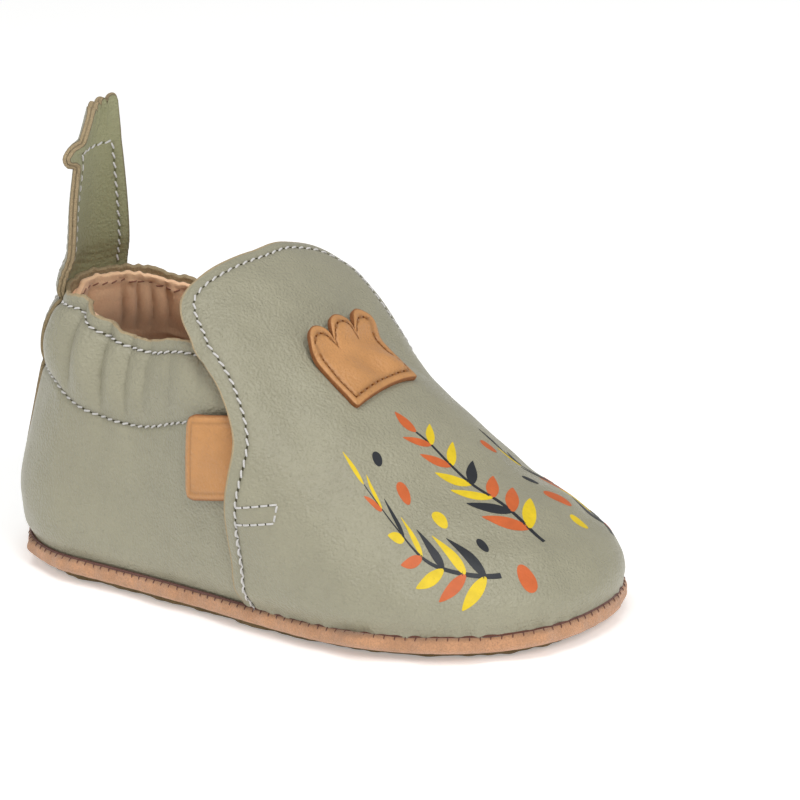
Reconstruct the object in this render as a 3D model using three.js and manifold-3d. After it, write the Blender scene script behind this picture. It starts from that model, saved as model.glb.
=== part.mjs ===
// A baby's soft leather slipper for the right foot, as separate pieces: sole, tread layer, insole,
// hollow upper with its instep flap, heel strip that runs on as a pull tab, tab facing, side tab and
// flap patch. Millimetres, +X to the toe, +Y to the inner side of the foot, +Z up, floor at Z = 0.
import * as THREE from "three";
import { mergeVertices } from "three/addons/utils/BufferGeometryUtils.js";
import Module from "manifold-3d";

const wasm = await Module();
wasm.setup();

// Foot form
const LENGTH = 130; // heel to toe along the sole seam
const BALL_WIDTH = 61; // sole seam across the ball of the foot
const TOE_SWING = 3; // toe tip's offset towards the inner side
const INSTEP_RISE = 55; // sole seam to the top of the instep flap
const COLLAR_RISE = 50; // sole seam to the collar at the heel
const SIDE_BULGE = 1.6; // how far the sides swell over the seam
const HEEL_BULGE = 2.2; // how far the heel swells behind the seam
const BULGE_RISE = 11; // height of the swell above the seam
const HEEL_LEAN = 9.8; // how far the collar leans forward of the heel
const FRONT_RAKE = 0.075; // share of the length by which the quarter's front end leans back
const COLLAR_DRAW = 5; // how far the elastic draws each side of the collar in

// Thicknesses and clearances
const TREAD_THICKNESS = 1.3;
const SOLE_THICKNESS = 2.2;
const SEAM_RISE = 1.8; // turned-up sole edge, above the sole's upper face
const INSOLE_THICKNESS = 1.4;
const QUARTER_WALL = 1.7; // leather and suede lining together
const VAMP_WALL = 1.8;
const STRAP_LEATHER = 1.0;
const PATCH_LEATHER = 1.3;
const SIDE_TAB_LEATHER = 1.3;
const GAP = 0.3; // between pieces that are sewn face to face

// Sole edge
const EDGE_SWELL = 0.7; // how far the soft sole edge swells past the seam
const EDGE_TUCK = 1.7; // how far the underside is rounded in
const TREAD_TUCK = 2.4; // how far the tread layer lies inside the seam

// Upper's cut
const VAMP_LAP = 13; // quarter hidden under the vamp's rear edge
const FLAP_FLARE = 3.0; // how far the flap's free edge stands off the quarter
const FREE_EDGE_RISE = 8; // seam to where the vamp's rear edge starts to come free
const FREE_EDGE_SPAN = 16; // height over which it comes free
const VAMP_DRAW = 0.9; // how far the sole seam draws the vamp in
const VAMP_DRAW_RISE = 6;

// Heel strip and pull tab
const STRIP_FOOT_WIDTH = 21;
const STRIP_COLLAR_WIDTH = 19.5;
const TAB_RISE = 27; // collar to the wrist seam
const TAB_WRIST_WIDTH = 13.5;
const TAB_LEAN_RISE = 18; // height over which the strip's forward lean dies out in the tab
const TAB_FLATNESS = 0.5; // share of the heel's roundness that the tab's top has lost
const HAND_RISE = 9.5; // wrist seam to the tallest lobe
const HAND_SLOPE = 2; // fall of the lobes towards the outer side
const HAND_WIDTH = 7; // across the lobes
const HAND_LOBES = 4;
const LOBE_DEPTH = 1.5;
const NUB_REACH = 3.3; // side nub below the lobes, on the outer side
const NUB_WIDTH = 4.2;

// Side tab and patch
const SIDE_TAB_HEIGHT = 16;
const SIDE_TAB_REACH = 11; // shows behind the vamp's edge
const SIDE_TAB_TUCK = 2.5; // held under the vamp's edge
const SIDE_TAB_RISE = 20.5; // seam to its lower edge
const SIDE_TAB_ROUND = 2.2; // radius of its rear corners
const PATCH_BASE = 0.65; // station of its straight lower edge
const PATCH_SHIFT = 1; // towards the outer side
const PATCH_WIDTH = 19;
const PATCH_HEIGHT = 14;
const PATCH_LOBES = 3;
const PATCH_LOBE_DEPTH = 3.4;

// Facets
const OUTLINE_STEPS = 36; // on each side
const QUARTER_STEPS = 22; // on each side
const QUARTER_ROWS = 10;
const VAMP_ROWS = 20;
const VAMP_STEPS = 18; // on each side
const EDGE_STEPS = 5;
const STRIP_ROWS = 12; // sole seam to collar
const TAB_ROWS = 6; // collar to nub
const NUB_ROWS = 8;
const HAND_ROWS = 3;
const LOBE_STEPS = 4; // across each lobe
const SIDE_TAB_STEPS = 8;
const PATCH_ROWS = 6;

// Half widths of the sole seam, as shares of half the ball width
const PLAN = [
  { along: 0.0, outer: 0.81, inner: 0.81 },
  { along: 0.18, outer: 0.83, inner: 0.82 },
  { along: 0.42, outer: 0.9, inner: 0.83 },
  { along: 0.7, outer: 1.03, inner: 0.97 },
  { along: 1.0, outer: 1.05, inner: 1.0 },
];
const HEEL_ROUND = 0.19; // share of the length that the heel's round takes
const TOE_ROUND = 0.36;
const TOE_POWER = 2.3;

// Top line of the foot form above the seam, as shares of the instep rise, and each side's fullness
const TOP = [
  { along: 0.0, rise: 1.1, outer: 6.0, inner: 6.0 },
  { along: 0.4, rise: 1.03, outer: 9.0, inner: 14.0 },
  { along: 0.45, rise: 0.99, outer: 7.2, inner: 9.0 },
  { along: 0.5, rise: 0.93, outer: 5.6, inner: 4.6 },
  { along: 0.54, rise: 0.866, outer: 4.7, inner: 3.0 },
  { along: 0.58, rise: 0.79, outer: 4.0, inner: 2.3 },
  { along: 0.66, rise: 0.65, outer: 3.1, inner: 2.0 },
  { along: 0.72, rise: 0.53, outer: 2.7, inner: 2.0 },
  { along: 0.8, rise: 0.38, outer: 2.3, inner: 2.0 },
  { along: 1.0, rise: 0.23, outer: 2.0, inner: 2.0 },
];
const TOE_CAP = 0.19; // share of the length over which the toe's front curls down

// Collar line of the quarter above the seam on each side, as shares of the collar rise
const COLLAR = [
  { along: 0.0, outer: 1.0, inner: 1.0 },
  { along: 0.03, outer: 0.997, inner: 0.996 },
  { along: 0.06, outer: 1.01, inner: 0.972 },
  { along: 0.09, outer: 1.016, inner: 0.944 },
  { along: 0.122, outer: 1.02, inner: 0.927 },
  { along: 0.17, outer: 0.982, inner: 0.905 },
  { along: 0.21, outer: 0.962, inner: 0.893 },
  { along: 0.285, outer: 0.937, inner: 0.882 },
  { along: 0.345, outer: 0.94, inner: 0.9 },
  { along: 0.415, outer: 0.98, inner: 0.95 },
  { along: 0.48, outer: 0.95, inner: 0.935 },
  { along: 0.58, outer: 0.78, inner: 0.77 },
];

// Rear edge of the vamp from the seam (turn 0) over the flap's corner to the ridge (turn 1)
const VAMP_EDGE = [
  { turn: 0.0, outer: 0.54, inner: 0.54 },
  { turn: 0.12, outer: 0.54, inner: 0.54 },
  { turn: 0.25, outer: 0.541, inner: 0.54 },
  { turn: 0.38, outer: 0.545, inner: 0.54 },
  { turn: 0.48, outer: 0.54, inner: 0.535 },
  { turn: 0.57, outer: 0.512, inner: 0.525 },
  { turn: 0.64, outer: 0.462, inner: 0.51 },
  { turn: 0.7, outer: 0.42, inner: 0.485 },
  { turn: 0.78, outer: 0.397, inner: 0.45 },
  { turn: 0.9, outer: 0.4, inner: 0.418 },
  { turn: 1.0, outer: 0.406, inner: 0.406 },
];

const SEAM_Z = TREAD_THICKNESS + SOLE_THICKNESS + SEAM_RISE;
const OUTER = -1; // side of the little toe
const INNER = 1;

const clamp = (v) => Math.min(1, Math.max(0, v));
const ease = (v) => clamp(v) ** 2 * (3 - 2 * clamp(v));

/** A table's column at a place between its rows, as a smooth curve through them. */
function column(table, by, name, at) {
  const last = table.length - 1;
  let i = 0;
  while (i < last - 1 && at > table[i + 1][by]) i += 1;
  const slope = (j) => {
    const a = table[Math.max(j - 1, 0)];
    const b = table[Math.min(j + 1, last)];
    return (b[name] - a[name]) / (b[by] - a[by]);
  };
  const [p, q] = [table[i], table[i + 1]];
  const span = q[by] - p[by];
  const t = clamp((at - p[by]) / span);
  const lift = t * t * (3 - 2 * t);
  const bend = span * (t * (1 - t) ** 2 * slope(i) - t * t * (1 - t) * slope(i + 1));
  return p[name] + (q[name] - p[name]) * lift + bend;
}

/** Share of the width left at a station, from the round heel to the round toe. */
function endRound(along) {
  const heel = Math.max(0, 1 - along / HEEL_ROUND);
  const toe = Math.max(0, (along - 1 + TOE_ROUND) / TOE_ROUND);
  return Math.sqrt(1 - heel ** 2) * Math.max(0, 1 - toe ** TOE_POWER) ** (1 / TOE_POWER);
}

/** Height of the closed foot form's ridge above the seam. */
function ridgeRise(along) {
  const curl = Math.max(0, (along - 1 + TOE_CAP) / TOE_CAP);
  const front = Math.max(0, 1 - curl ** 2.2) ** (1 / 2.2);
  return INSTEP_RISE * column(TOP, "along", "rise", along) * front;
}

/** Swell of the soft wall just above the seam, from 0 to 1. */
function swell(rise) {
  const share = rise / BULGE_RISE;
  return share * Math.exp(1 - share);
}

/** Point of the foot form at a station, a side and a height above the seam. */
function formPoint(along, side, rise) {
  const name = side < 0 ? "outer" : "inner";
  const round = endRound(along);
  const half = (BALL_WIDTH / 2) * column(PLAN, "along", name, along) * round;
  const ridge = Math.max(ridgeRise(along), 1e-6);
  const power = column(TOP, "along", name, along);
  const climbed = Math.max(0, rise);
  const arch = Math.max(0, 1 - (climbed / ridge) ** power) ** 0.5;
  const heel = 1 - ease(along / 0.4);
  const drawn = COLLAR_DRAW * ease(rise / COLLAR_RISE) * (1 - ease((along - 0.3) / 0.2)) * round;
  const wide = half + SIDE_BULGE * swell(rise) * round * (1 - 0.6 * ease((along - 0.6) / 0.4)) - drawn;
  const lean = HEEL_LEAN * (climbed / COLLAR_RISE) ** 1.5 - HEEL_BULGE * swell(rise);
  const swing = TOE_SWING * clamp((along - 0.5) / 0.5) ** 1.5;
  return new THREE.Vector3(
    LENGTH * (along - 0.5) + heel * lean,
    swing + side * wide * arch,
    SEAM_Z + rise,
  );
}

/** Unit normal of a two-parameter surface, pointing away from the inside of the foot. */
function normalOf(surface, a, b, outward) {
  const step = 1e-3;
  const du = surface(a + step, b).sub(surface(a - step, b));
  const dv = surface(a, b + step).sub(surface(a, b - step));
  const normal = du.cross(dv).normalize();
  return normal.multiplyScalar(Math.sign(normal.dot(outward)) || 1);
}

/** Grid of points, rows by columns, from a function of the two shares. */
function grid(rows, columns, point) {
  return Array.from({ length: rows + 1 }, (_, i) =>
    Array.from({ length: columns + 1 }, (_, j) => point(i / rows, j / columns)),
  );
}

/** Closed mesh between two grids of the same size: an outer face, an inner face and the rim. */
function sheet(outer, inner) {
  const [rows, columns] = [outer.length - 1, outer[0].length - 1];
  const points = [];
  const faces = [];
  for (const face of [outer, inner]) for (const row of face) points.push(...row);
  const at = (layer, i, j) => layer * (rows + 1) * (columns + 1) + i * (columns + 1) + j;
  const quad = (a, b, c, d) => faces.push(a, b, c, a, c, d);
  for (let i = 0; i < rows; i += 1)
    for (let j = 0; j < columns; j += 1) {
      quad(at(0, i, j), at(0, i + 1, j), at(0, i + 1, j + 1), at(0, i, j + 1));
      quad(at(1, i, j), at(1, i, j + 1), at(1, i + 1, j + 1), at(1, i + 1, j));
    }
  for (let i = 0; i < rows; i += 1) {
    quad(at(0, i, 0), at(1, i, 0), at(1, i + 1, 0), at(0, i + 1, 0));
    quad(at(0, i, columns), at(0, i + 1, columns), at(1, i + 1, columns), at(1, i, columns));
  }
  for (let j = 0; j < columns; j += 1) {
    quad(at(0, 0, j), at(0, 0, j + 1), at(1, 0, j + 1), at(1, 0, j));
    quad(at(0, rows, j), at(1, rows, j), at(1, rows, j + 1), at(0, rows, j + 1));
  }
  return solidFrom(points, faces);
}

/** Solid of a list of points and triangles, turned so that its faces point out. */
function solidFrom(points, faces) {
  const geometry = new THREE.BufferGeometry();
  const flat = points.flatMap((p) => [p.x, p.y, p.z]);
  geometry.setAttribute("position", new THREE.Float32BufferAttribute(flat, 3));
  geometry.setIndex(faces);
  const merged = mergeVertices(geometry, 1e-3);
  const kept = [];
  const index = merged.index.array;
  for (let i = 0; i < index.length; i += 3) {
    const [a, b, c] = index.slice(i, i + 3);
    if (a !== b && b !== c && a !== c) kept.push(a, b, c);
  }
  const make = (triangles) =>
    new wasm.Manifold(
      new wasm.Mesh({
        numProp: 3,
        vertProperties: merged.attributes.position.array,
        triVerts: Uint32Array.from(triangles),
      }),
    );
  const made = make(kept);
  return made.volume() > 0 ? made : make(kept.reverse());
}

/** three.js geometry of a solid. */
function geometryOf(solid) {
  const mesh = solid.getMesh();
  const geometry = new THREE.BufferGeometry();
  geometry.setAttribute("position", new THREE.BufferAttribute(mesh.vertProperties, 3));
  geometry.setIndex(new THREE.BufferAttribute(mesh.triVerts, 1));
  geometry.computeVertexNormals();
  return geometry;
}

/** Seam outline moved out by an offset, as pairs of outer and inner points from heel to toe. */
function outlinePairs(offset, z) {
  const point = (share, side) => {
    const along = (1 - Math.cos(Math.PI * share)) / 2;
    return formPoint(along, side, 0);
  };
  const moved = (share, side) => {
    const step = 0.004;
    const before = share < step ? point(step - share, -side) : point(share - step, side);
    const after = share > 1 - step ? point(2 - step - share, -side) : point(share + step, side);
    const run = after.sub(before);
    const out = new THREE.Vector3(run.y, -run.x, 0).normalize().multiplyScalar(-side * offset);
    return point(share, side).add(out).setZ(z);
  };
  return Array.from({ length: OUTLINE_STEPS + 1 }, (_, i) => {
    const share = i / OUTLINE_STEPS;
    return [moved(share, OUTER), moved(share, INNER)];
  });
}

/** Solid through rings of the seam outline, each with its own offset and height, closed flat. */
function outlineSolid(rings) {
  const loops = rings.map(([offset, z]) => {
    const pairs = outlinePairs(offset, z);
    const inner = pairs.slice(1, -1).map((pair) => pair[1]);
    return [...pairs.map((pair) => pair[0]), ...inner.reverse()];
  });
  const count = loops[0].length;
  const points = loops.flat();
  const faces = [];
  for (let k = 0; k < loops.length - 1; k += 1)
    for (let i = 0; i < count; i += 1) {
      const [a, b] = [k * count + i, k * count + ((i + 1) % count)];
      faces.push(a, b, b + count, a, b + count, a + count);
    }
  const cap = (base, turned) => {
    for (let i = 0; i < OUTLINE_STEPS; i += 1) {
      const [a, b] = [base + i, base + i + 1];
      const [c, d] = [base + ((count - i - 1) % count), base + ((count - i) % count)];
      const two = [a, b, c, a, c, d];
      faces.push(...(turned ? two.reverse() : two));
    }
  };
  cap(0, true);
  cap((loops.length - 1) * count, false);
  return solidFrom(points, faces);
}

/** Sole: a suede plate with a soft turned-up edge and a recess for the insole. */
function buildSole() {
  const [low, high] = [TREAD_THICKNESS + GAP, SEAM_Z - GAP];
  const middle = (low + high) / 2;
  const side = Array.from({ length: EDGE_STEPS + 1 }, (_, i) => {
    const turn = (Math.PI * i) / EDGE_STEPS - Math.PI / 2;
    const tuck = turn < 0 ? EDGE_TUCK : EDGE_SWELL * 0.7;
    const offset = EDGE_SWELL - tuck * (1 - Math.cos(turn));
    return [offset, middle + ((high - low) / 2) * Math.sin(turn)];
  });
  const inside = -(QUARTER_WALL + GAP);
  const floor = TREAD_THICKNESS + SOLE_THICKNESS;
  return outlineSolid([...side, [inside, high], [inside - GAP, floor]]);
}

/** Tread: the rough brown layer under the sole, flat on the floor. */
function buildTread() {
  return outlineSolid([
    [-TREAD_TUCK - GAP, 0],
    [-TREAD_TUCK, GAP],
    [-TREAD_TUCK, TREAD_THICKNESS],
  ]);
}

/** Insole: a thin suede bed in the sole's recess. */
function buildInsole() {
  const edge = -(QUARTER_WALL + 3 * GAP);
  const floor = TREAD_THICKNESS + SOLE_THICKNESS + GAP;
  return outlineSolid([
    [edge, floor],
    [edge, floor + INSOLE_THICKNESS],
  ]);
}

/** Station of the vamp's rear edge on a side, from the seam (climb 0) to the ridge (1). */
function edgeAt(side, climb) {
  return column(VAMP_EDGE, "turn", side < 0 ? "outer" : "inner", climb);
}

/** Quarter's face at a turn round the heel (-1 outer front, 1 inner front) and a height share. */
function quarterPoint(turn, height) {
  const side = turn < 0 ? OUTER : INNER;
  const foot = edgeAt(side, 0) + VAMP_LAP / LENGTH;
  const front = foot - FRONT_RAKE * height;
  const along = front * (1 - Math.cos((Math.PI / 2) * Math.min(1, Math.abs(turn))));
  const top = column(COLLAR, "along", side < 0 ? "outer" : "inner", along);
  return formPoint(along, side, height * COLLAR_RISE * top);
}

/** Quarter: the wall round the heel, whose front ends lie under the vamp. */
function buildQuarter() {
  const depthPoint = (depth) => (height, share) => {
    const turn = 2 * share - 1;
    const face = quarterPoint(turn, height);
    if (depth === 0) return face;
    const outward = new THREE.Vector3(-0.3 * (1 - Math.abs(turn)), Math.sign(turn) || 0, 0);
    if (turn === 0) outward.set(-1, 0, 0);
    const out = normalOf(quarterPoint, turn || 1e-4, height, outward);
    if (turn === 0) out.setY(0).normalize();
    return face.addScaledVector(height === 0 ? out.setZ(0).normalize() : out, -depth);
  };
  const outer = grid(QUARTER_ROWS, 2 * QUARTER_STEPS, depthPoint(0));
  const inner = grid(QUARTER_ROWS, 2 * QUARTER_STEPS, depthPoint(QUARTER_WALL));
  return sheet(outer, inner);
}

/** Point of the foot form's arch at a station, from the outer foot (turn -1) to the inner (1). */
function archPoint(along, turn) {
  const side = turn < 0 ? OUTER : INNER;
  return formPoint(along, side, ridgeRise(along) * Math.cos((Math.PI / 2) * turn));
}

/** How far the flap's free rear edge stands off the quarter. */
function flare(along, turn, rise) {
  const reach = (1 - along) / (1 - edgeAt(turn, 1 - Math.abs(turn)));
  return FLAP_FLARE * ease((reach - 0.7) / 0.3) * ease((rise - FREE_EDGE_RISE) / FREE_EDGE_SPAN);
}

/** Vamp's face moved out by an offset, with the flap's flare and the draw of the sole seam. */
function vampSkin(along, turn, offset) {
  const face = archPoint(along, turn);
  const rise = face.z - SEAM_Z;
  const outward = new THREE.Vector3(0.6, Math.sin((Math.PI / 2) * turn), 1 - Math.abs(turn));
  const safeTurn = Math.min(0.998, Math.max(-0.998, turn)) || 1e-4;
  const normal = along > 0.999 ? new THREE.Vector3(1, 0, 0) : normalOf(archPoint, along, safeTurn, outward);
  if (turn === 0) normal.setY(0).normalize();
  if (Math.abs(turn) === 1) normal.setZ(0).normalize();
  const draw = VAMP_DRAW * (1 - ease(rise / VAMP_DRAW_RISE));
  return face.addScaledVector(normal, offset + flare(along, turn, rise) - draw);
}

/** Vamp: the front of the upper, up to the free flap over the instep. */
function buildVamp() {
  const skin = (offset) =>
    grid(VAMP_ROWS, 2 * VAMP_STEPS, (i, j) => {
      const turn = 2 * j - 1;
      const edge = edgeAt(turn, 1 - Math.abs(turn));
      return vampSkin(1 - (1 - edge) * i ** 1.6, turn, offset);
    });
  return sheet(skin(VAMP_WALL - GAP), skin(-GAP));
}

/** Upper: quarter and vamp sewn into one hollow wall, open at the collar and underneath. */
function buildUpper() {
  return buildQuarter().add(buildVamp());
}

/** Share from 0 to 1 at which a rising function reaches a value. */
function shareAt(value, wanted) {
  let [low, high] = [0, 1];
  for (let i = 0; i < 30; i += 1) {
    const middle = (low + high) / 2;
    if (value(middle) < wanted) low = middle;
    else high = middle;
  }
  return (low + high) / 2;
}

/** Point on or over the quarter at a height share, a side-to-side place and an offset. */
function heelPoint(height, y, offset) {
  const side = y < 0 ? OUTER : INNER;
  const turn = shareAt((t) => Math.abs(quarterPoint(side * t, height).y), Math.abs(y));
  const out = normalOf(quarterPoint, side * Math.max(turn, 1e-3), height, new THREE.Vector3(-1, 0, 0));
  const face = quarterPoint(side * turn, height).setY(y);
  if (height === 0) out.setZ(0).normalize();
  return face.addScaledVector(out, offset);
}

/** Half width of the strip and its tab at a rise from the collar, negative below it. */
function stripHalf(rise) {
  const collar = STRIP_COLLAR_WIDTH / 2;
  if (rise < 0) return collar + ((STRIP_FOOT_WIDTH / 2 - collar) * -rise) / COLLAR_RISE;
  if (rise < TAB_RISE) return collar + ((TAB_WRIST_WIDTH / 2 - collar) * rise) / TAB_RISE;
  return (TAB_WRIST_WIDTH + ((HAND_WIDTH - TAB_WRIST_WIDTH) * (rise - TAB_RISE)) / HAND_RISE) / 2;
}

/** Point of the tab at a rise above the collar, a share across and an offset from the quarter's face. */
function tabPoint(rise, across, offset) {
  const middle = heelPoint(1, 0, offset);
  const foot = heelPoint(1, (across * STRIP_COLLAR_WIDTH) / 2, offset);
  const slope = middle.clone().sub(heelPoint(0.98, 0, offset));
  const lean = (slope.x / slope.z) * TAB_LEAN_RISE * (1 - Math.exp(-rise / TAB_LEAN_RISE));
  const round = (foot.x - middle.x) * (1 - (TAB_FLATNESS * rise) / (TAB_RISE + HAND_RISE));
  const turn = (rise - TAB_RISE) / (NUB_WIDTH / 2);
  const nub = across === -1 ? NUB_REACH * Math.sqrt(Math.max(0, 1 - turn ** 2)) : 0;
  const half = stripHalf(rise);
  const shift = rise > TAB_RISE ? TAB_WRIST_WIDTH / 2 - half : 0;
  return new THREE.Vector3(middle.x + lean + round, shift + across * half - nub, middle.z + rise);
}

/** Scalloped edge: 0 at the tops of its lobes and 1 in the notches between them. */
function scallop(across, lobes) {
  const turn = Math.abs((((across + 1) / 2) * lobes * 2) % 2 - 1);
  return 1 - Math.sqrt(1 - turn ** 2);
}

/** Rises of the tab's rows below its lobes, from the collar. */
function tabRises() {
  const low = TAB_RISE - NUB_WIDTH / 2;
  const tab = Array.from({ length: TAB_ROWS }, (_, i) => (low * i) / TAB_ROWS);
  const nub = Array.from(
    { length: NUB_ROWS + 1 },
    (_, i) => TAB_RISE - (NUB_WIDTH / 2) * Math.cos((Math.PI * i) / NUB_ROWS),
  );
  return [...tab, ...nub];
}

/** One row of a strap's points, from its outer to its inner edge. */
function strapRow(point) {
  const steps = HAND_LOBES * LOBE_STEPS;
  return Array.from({ length: steps + 1 }, (_, j) => point((2 * j) / steps - 1));
}

/** Rows of the tab above the collar, up to its lobed end. */
function tabRows(offset) {
  const rises = tabRises();
  const rows = rises.map((rise) => strapRow((across) => tabPoint(rise, across, offset)));
  const low = rises[rises.length - 1];
  for (let i = 1; i <= HAND_ROWS; i += 1)
    rows.push(
      strapRow((across) => {
        const fall = (HAND_SLOPE * (1 - across)) / 2 + LOBE_DEPTH * scallop(across, HAND_LOBES);
        const top = TAB_RISE + HAND_RISE - fall;
        return tabPoint(low + ((top - low) * i) / HAND_ROWS, across, offset);
      }),
    );
  return rows;
}

/** Heel strip: a leather strap from the sole seam up the heel, on as the outer layer of the pull tab. */
function buildHeelStrip() {
  const rows = (offset) => {
    const strip = Array.from({ length: STRIP_ROWS }, (_, i) => {
      const height = i / STRIP_ROWS;
      return strapRow((across) => {
        const half = stripHalf((height - 1) * COLLAR_RISE);
        return heelPoint(height, across * half, offset);
      });
    });
    return [...strip, ...tabRows(offset)];
  };
  return sheet(rows(GAP + STRAP_LEATHER), rows(GAP));
}

/** Tab facing: the pull tab's inner layer, standing on the collar's edge. */
function buildTabFacing() {
  const rows = (offset) => {
    const tab = tabRows(offset);
    tab[0] = tab[0].map((p, j) => tab[1][j].clone().sub(p).setLength(GAP).add(p));
    return tab;
  };
  return sheet(rows(0), rows(-STRAP_LEATHER));
}

/** Station of the vamp's rear edge on the outer side at a height above the seam. */
function edgeAtRise(rise) {
  const climbed = (along) => Math.asin(Math.min(1, rise / ridgeRise(along))) / (Math.PI / 2);
  return edgeAt(OUTER, climbed(edgeAt(OUTER, climbed(0.5))));
}

/** Side tab: a small folded leather label, held under the vamp's free edge on the outer side. */
function buildSideTab() {
  const surface = (along, rise) => formPoint(along, OUTER, rise);
  const rear = edgeAtRise(SIDE_TAB_RISE) - SIDE_TAB_REACH / LENGTH;
  const point = (offset) => (i, j) => {
    const upright = SIDE_TAB_RISE + SIDE_TAB_HEIGHT * j;
    const front = edgeAtRise(upright) + SIDE_TAB_TUCK / LENGTH;
    const along = front + (rear - front) * Math.sin((Math.PI / 2) * i);
    const past = Math.max(0, 1 - ((along - rear) * LENGTH) / SIDE_TAB_ROUND);
    const cut = SIDE_TAB_ROUND * (1 - Math.sqrt(1 - past ** 2));
    const rise = SIDE_TAB_RISE + cut + (SIDE_TAB_HEIGHT - 2 * cut) * j;
    const normal = normalOf(surface, along, rise, new THREE.Vector3(0, -1, 0));
    return surface(along, rise).addScaledVector(normal, offset);
  };
  const face = (offset) => grid(SIDE_TAB_STEPS, SIDE_TAB_STEPS, point(offset));
  return sheet(face(GAP + SIDE_TAB_LEATHER), face(GAP));
}

/** Flap patch: a leather motif with a lobed top, sewn on the vamp over the instep. */
function buildFlapPatch() {
  const point = (offset) => (i, j) => {
    const across = 2 * j - 1;
    const top = PATCH_HEIGHT - PATCH_LOBE_DEPTH * scallop(across, PATCH_LOBES);
    const along = PATCH_BASE - (top * i) / LENGTH;
    const y = (across * PATCH_WIDTH) / 2 - PATCH_SHIFT;
    const side = y < 0 ? OUTER : INNER;
    const turn = shareAt((t) => Math.abs(vampSkin(along, side * t, offset).y), Math.abs(y));
    return vampSkin(along, side * turn, offset);
  };
  const low = VAMP_WALL;
  const face = (offset) => grid(PATCH_ROWS, PATCH_LOBES * LOBE_STEPS * 2, point(offset));
  return sheet(face(low + PATCH_LEATHER), face(low));
}

const materials = {
  leather: new THREE.MeshStandardMaterial({ color: "#98957f", roughness: 0.5, metalness: 0 }),
  tan: new THREE.MeshStandardMaterial({ color: "#c8935a", roughness: 0.55, metalness: 0 }),
  suede: new THREE.MeshStandardMaterial({ color: "#d3a27f", roughness: 0.9, metalness: 0 }),
  tread: new THREE.MeshStandardMaterial({ color: "#84704c", roughness: 0.95, metalness: 0 }),
};

/** Named mesh of a solid. */
function piece(name, solid, material) {
  const mesh = new THREE.Mesh(geometryOf(solid), material);
  mesh.name = name;
  return mesh;
}

const slipper = new THREE.Group();
slipper.add(
  piece("sole", buildSole(), materials.suede),
  piece("tread", buildTread(), materials.tread),
  piece("insole", buildInsole(), materials.suede),
  piece("upper", buildUpper(), materials.leather),
  piece("heel_strip", buildHeelStrip(), materials.leather),
  piece("tab_facing", buildTabFacing(), materials.leather),
  piece("side_tab", buildSideTab(), materials.tan),
  piece("flap_patch", buildFlapPatch(), materials.tan),
);

export default slipper;
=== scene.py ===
"""A baby's soft leather slipper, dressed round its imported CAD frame.

Every skin is a numpy surface: a grid of points from a formula of two parameters, moved along its
own normals by gathers, creases and stitch grooves, and closed with a rounded rim. Sizes are in
millimetres until a mesh is made, which is in metres. +X is the toe, +Y the inner side, +Z up.
"""

import logging
from collections.abc import Callable, Sequence
from dataclasses import dataclass, field
from enum import Enum
from math import cos, pi, radians, sin

import bpy
import numpy as np
from mathutils import Matrix, Vector


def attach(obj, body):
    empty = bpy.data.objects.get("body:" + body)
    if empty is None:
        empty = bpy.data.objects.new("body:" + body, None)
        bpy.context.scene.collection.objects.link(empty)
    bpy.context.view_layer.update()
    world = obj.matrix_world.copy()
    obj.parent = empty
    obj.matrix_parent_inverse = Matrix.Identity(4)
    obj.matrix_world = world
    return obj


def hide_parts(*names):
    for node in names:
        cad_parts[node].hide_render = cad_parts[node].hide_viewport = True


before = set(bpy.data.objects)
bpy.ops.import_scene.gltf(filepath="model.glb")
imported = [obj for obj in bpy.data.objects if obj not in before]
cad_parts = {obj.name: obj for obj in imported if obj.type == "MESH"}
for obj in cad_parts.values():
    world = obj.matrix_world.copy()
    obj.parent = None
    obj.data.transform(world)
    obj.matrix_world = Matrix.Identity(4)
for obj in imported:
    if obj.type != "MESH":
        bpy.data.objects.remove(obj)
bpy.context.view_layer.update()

LOG = logging.getLogger("slipper")
Array = np.ndarray
MM = 0.001
OUTER, INNER = -1.0, 1.0
TINY = 1e-9
CHUNK = 4000


# Numbers and small formulas


def clamp(value: Array) -> Array:
    """Value held between 0 and 1."""
    return np.clip(value, 0.0, 1.0)


def ease(value: Array) -> Array:
    """Smooth step: 3v^2 - 2v^3 between 0 and 1."""
    held = clamp(value)
    return held * held * (3.0 - 2.0 * held)


def bell(distance: Array, width: float) -> Array:
    """Bell curve exp(-(distance / width)^2)."""
    return np.exp(-((distance / width) ** 2))


def unit(vectors: Array, spare: Sequence[float] = (0.0, 0.0, 1.0)) -> Array:
    """Vectors scaled to length 1.

    Args:
        vectors: Array whose last axis holds x, y and z.
        spare: Direction used where a vector has no length.

    Returns:
        Array of the same shape.
    """
    length = np.linalg.norm(vectors, axis=-1, keepdims=True)
    return np.where(length > TINY, vectors / np.maximum(length, TINY), np.asarray(spare, float))


def table_at(table: Sequence[Sequence[float]], column: int, at: Array) -> Array:
    """Smooth curve through one column of a table, by cubic Hermite pieces.

    Args:
        table: Rows whose first number is the place.
        column: Which number of the rows is read.
        at: Places to read at.

    Returns:
        Values, one for each place.
    """
    rows = np.asarray(table, float)
    places, values = rows[:, 0], rows[:, column]
    slopes = np.empty_like(values)
    slopes[1:-1] = (values[2:] - values[:-2]) / (places[2:] - places[:-2])
    slopes[0] = (values[1] - values[0]) / (places[1] - places[0])
    slopes[-1] = (values[-1] - values[-2]) / (places[-1] - places[-2])
    low = np.searchsorted(places[1:-1], at, side="left")
    span = places[low + 1] - places[low]
    t = clamp((at - places[low]) / span)
    lift = t * t * (3.0 - 2.0 * t)
    bend = span * (t * (1 - t) ** 2 * slopes[low] - t * t * (1 - t) * slopes[low + 1])
    return values[low] + (values[low + 1] - values[low]) * lift + bend


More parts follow.
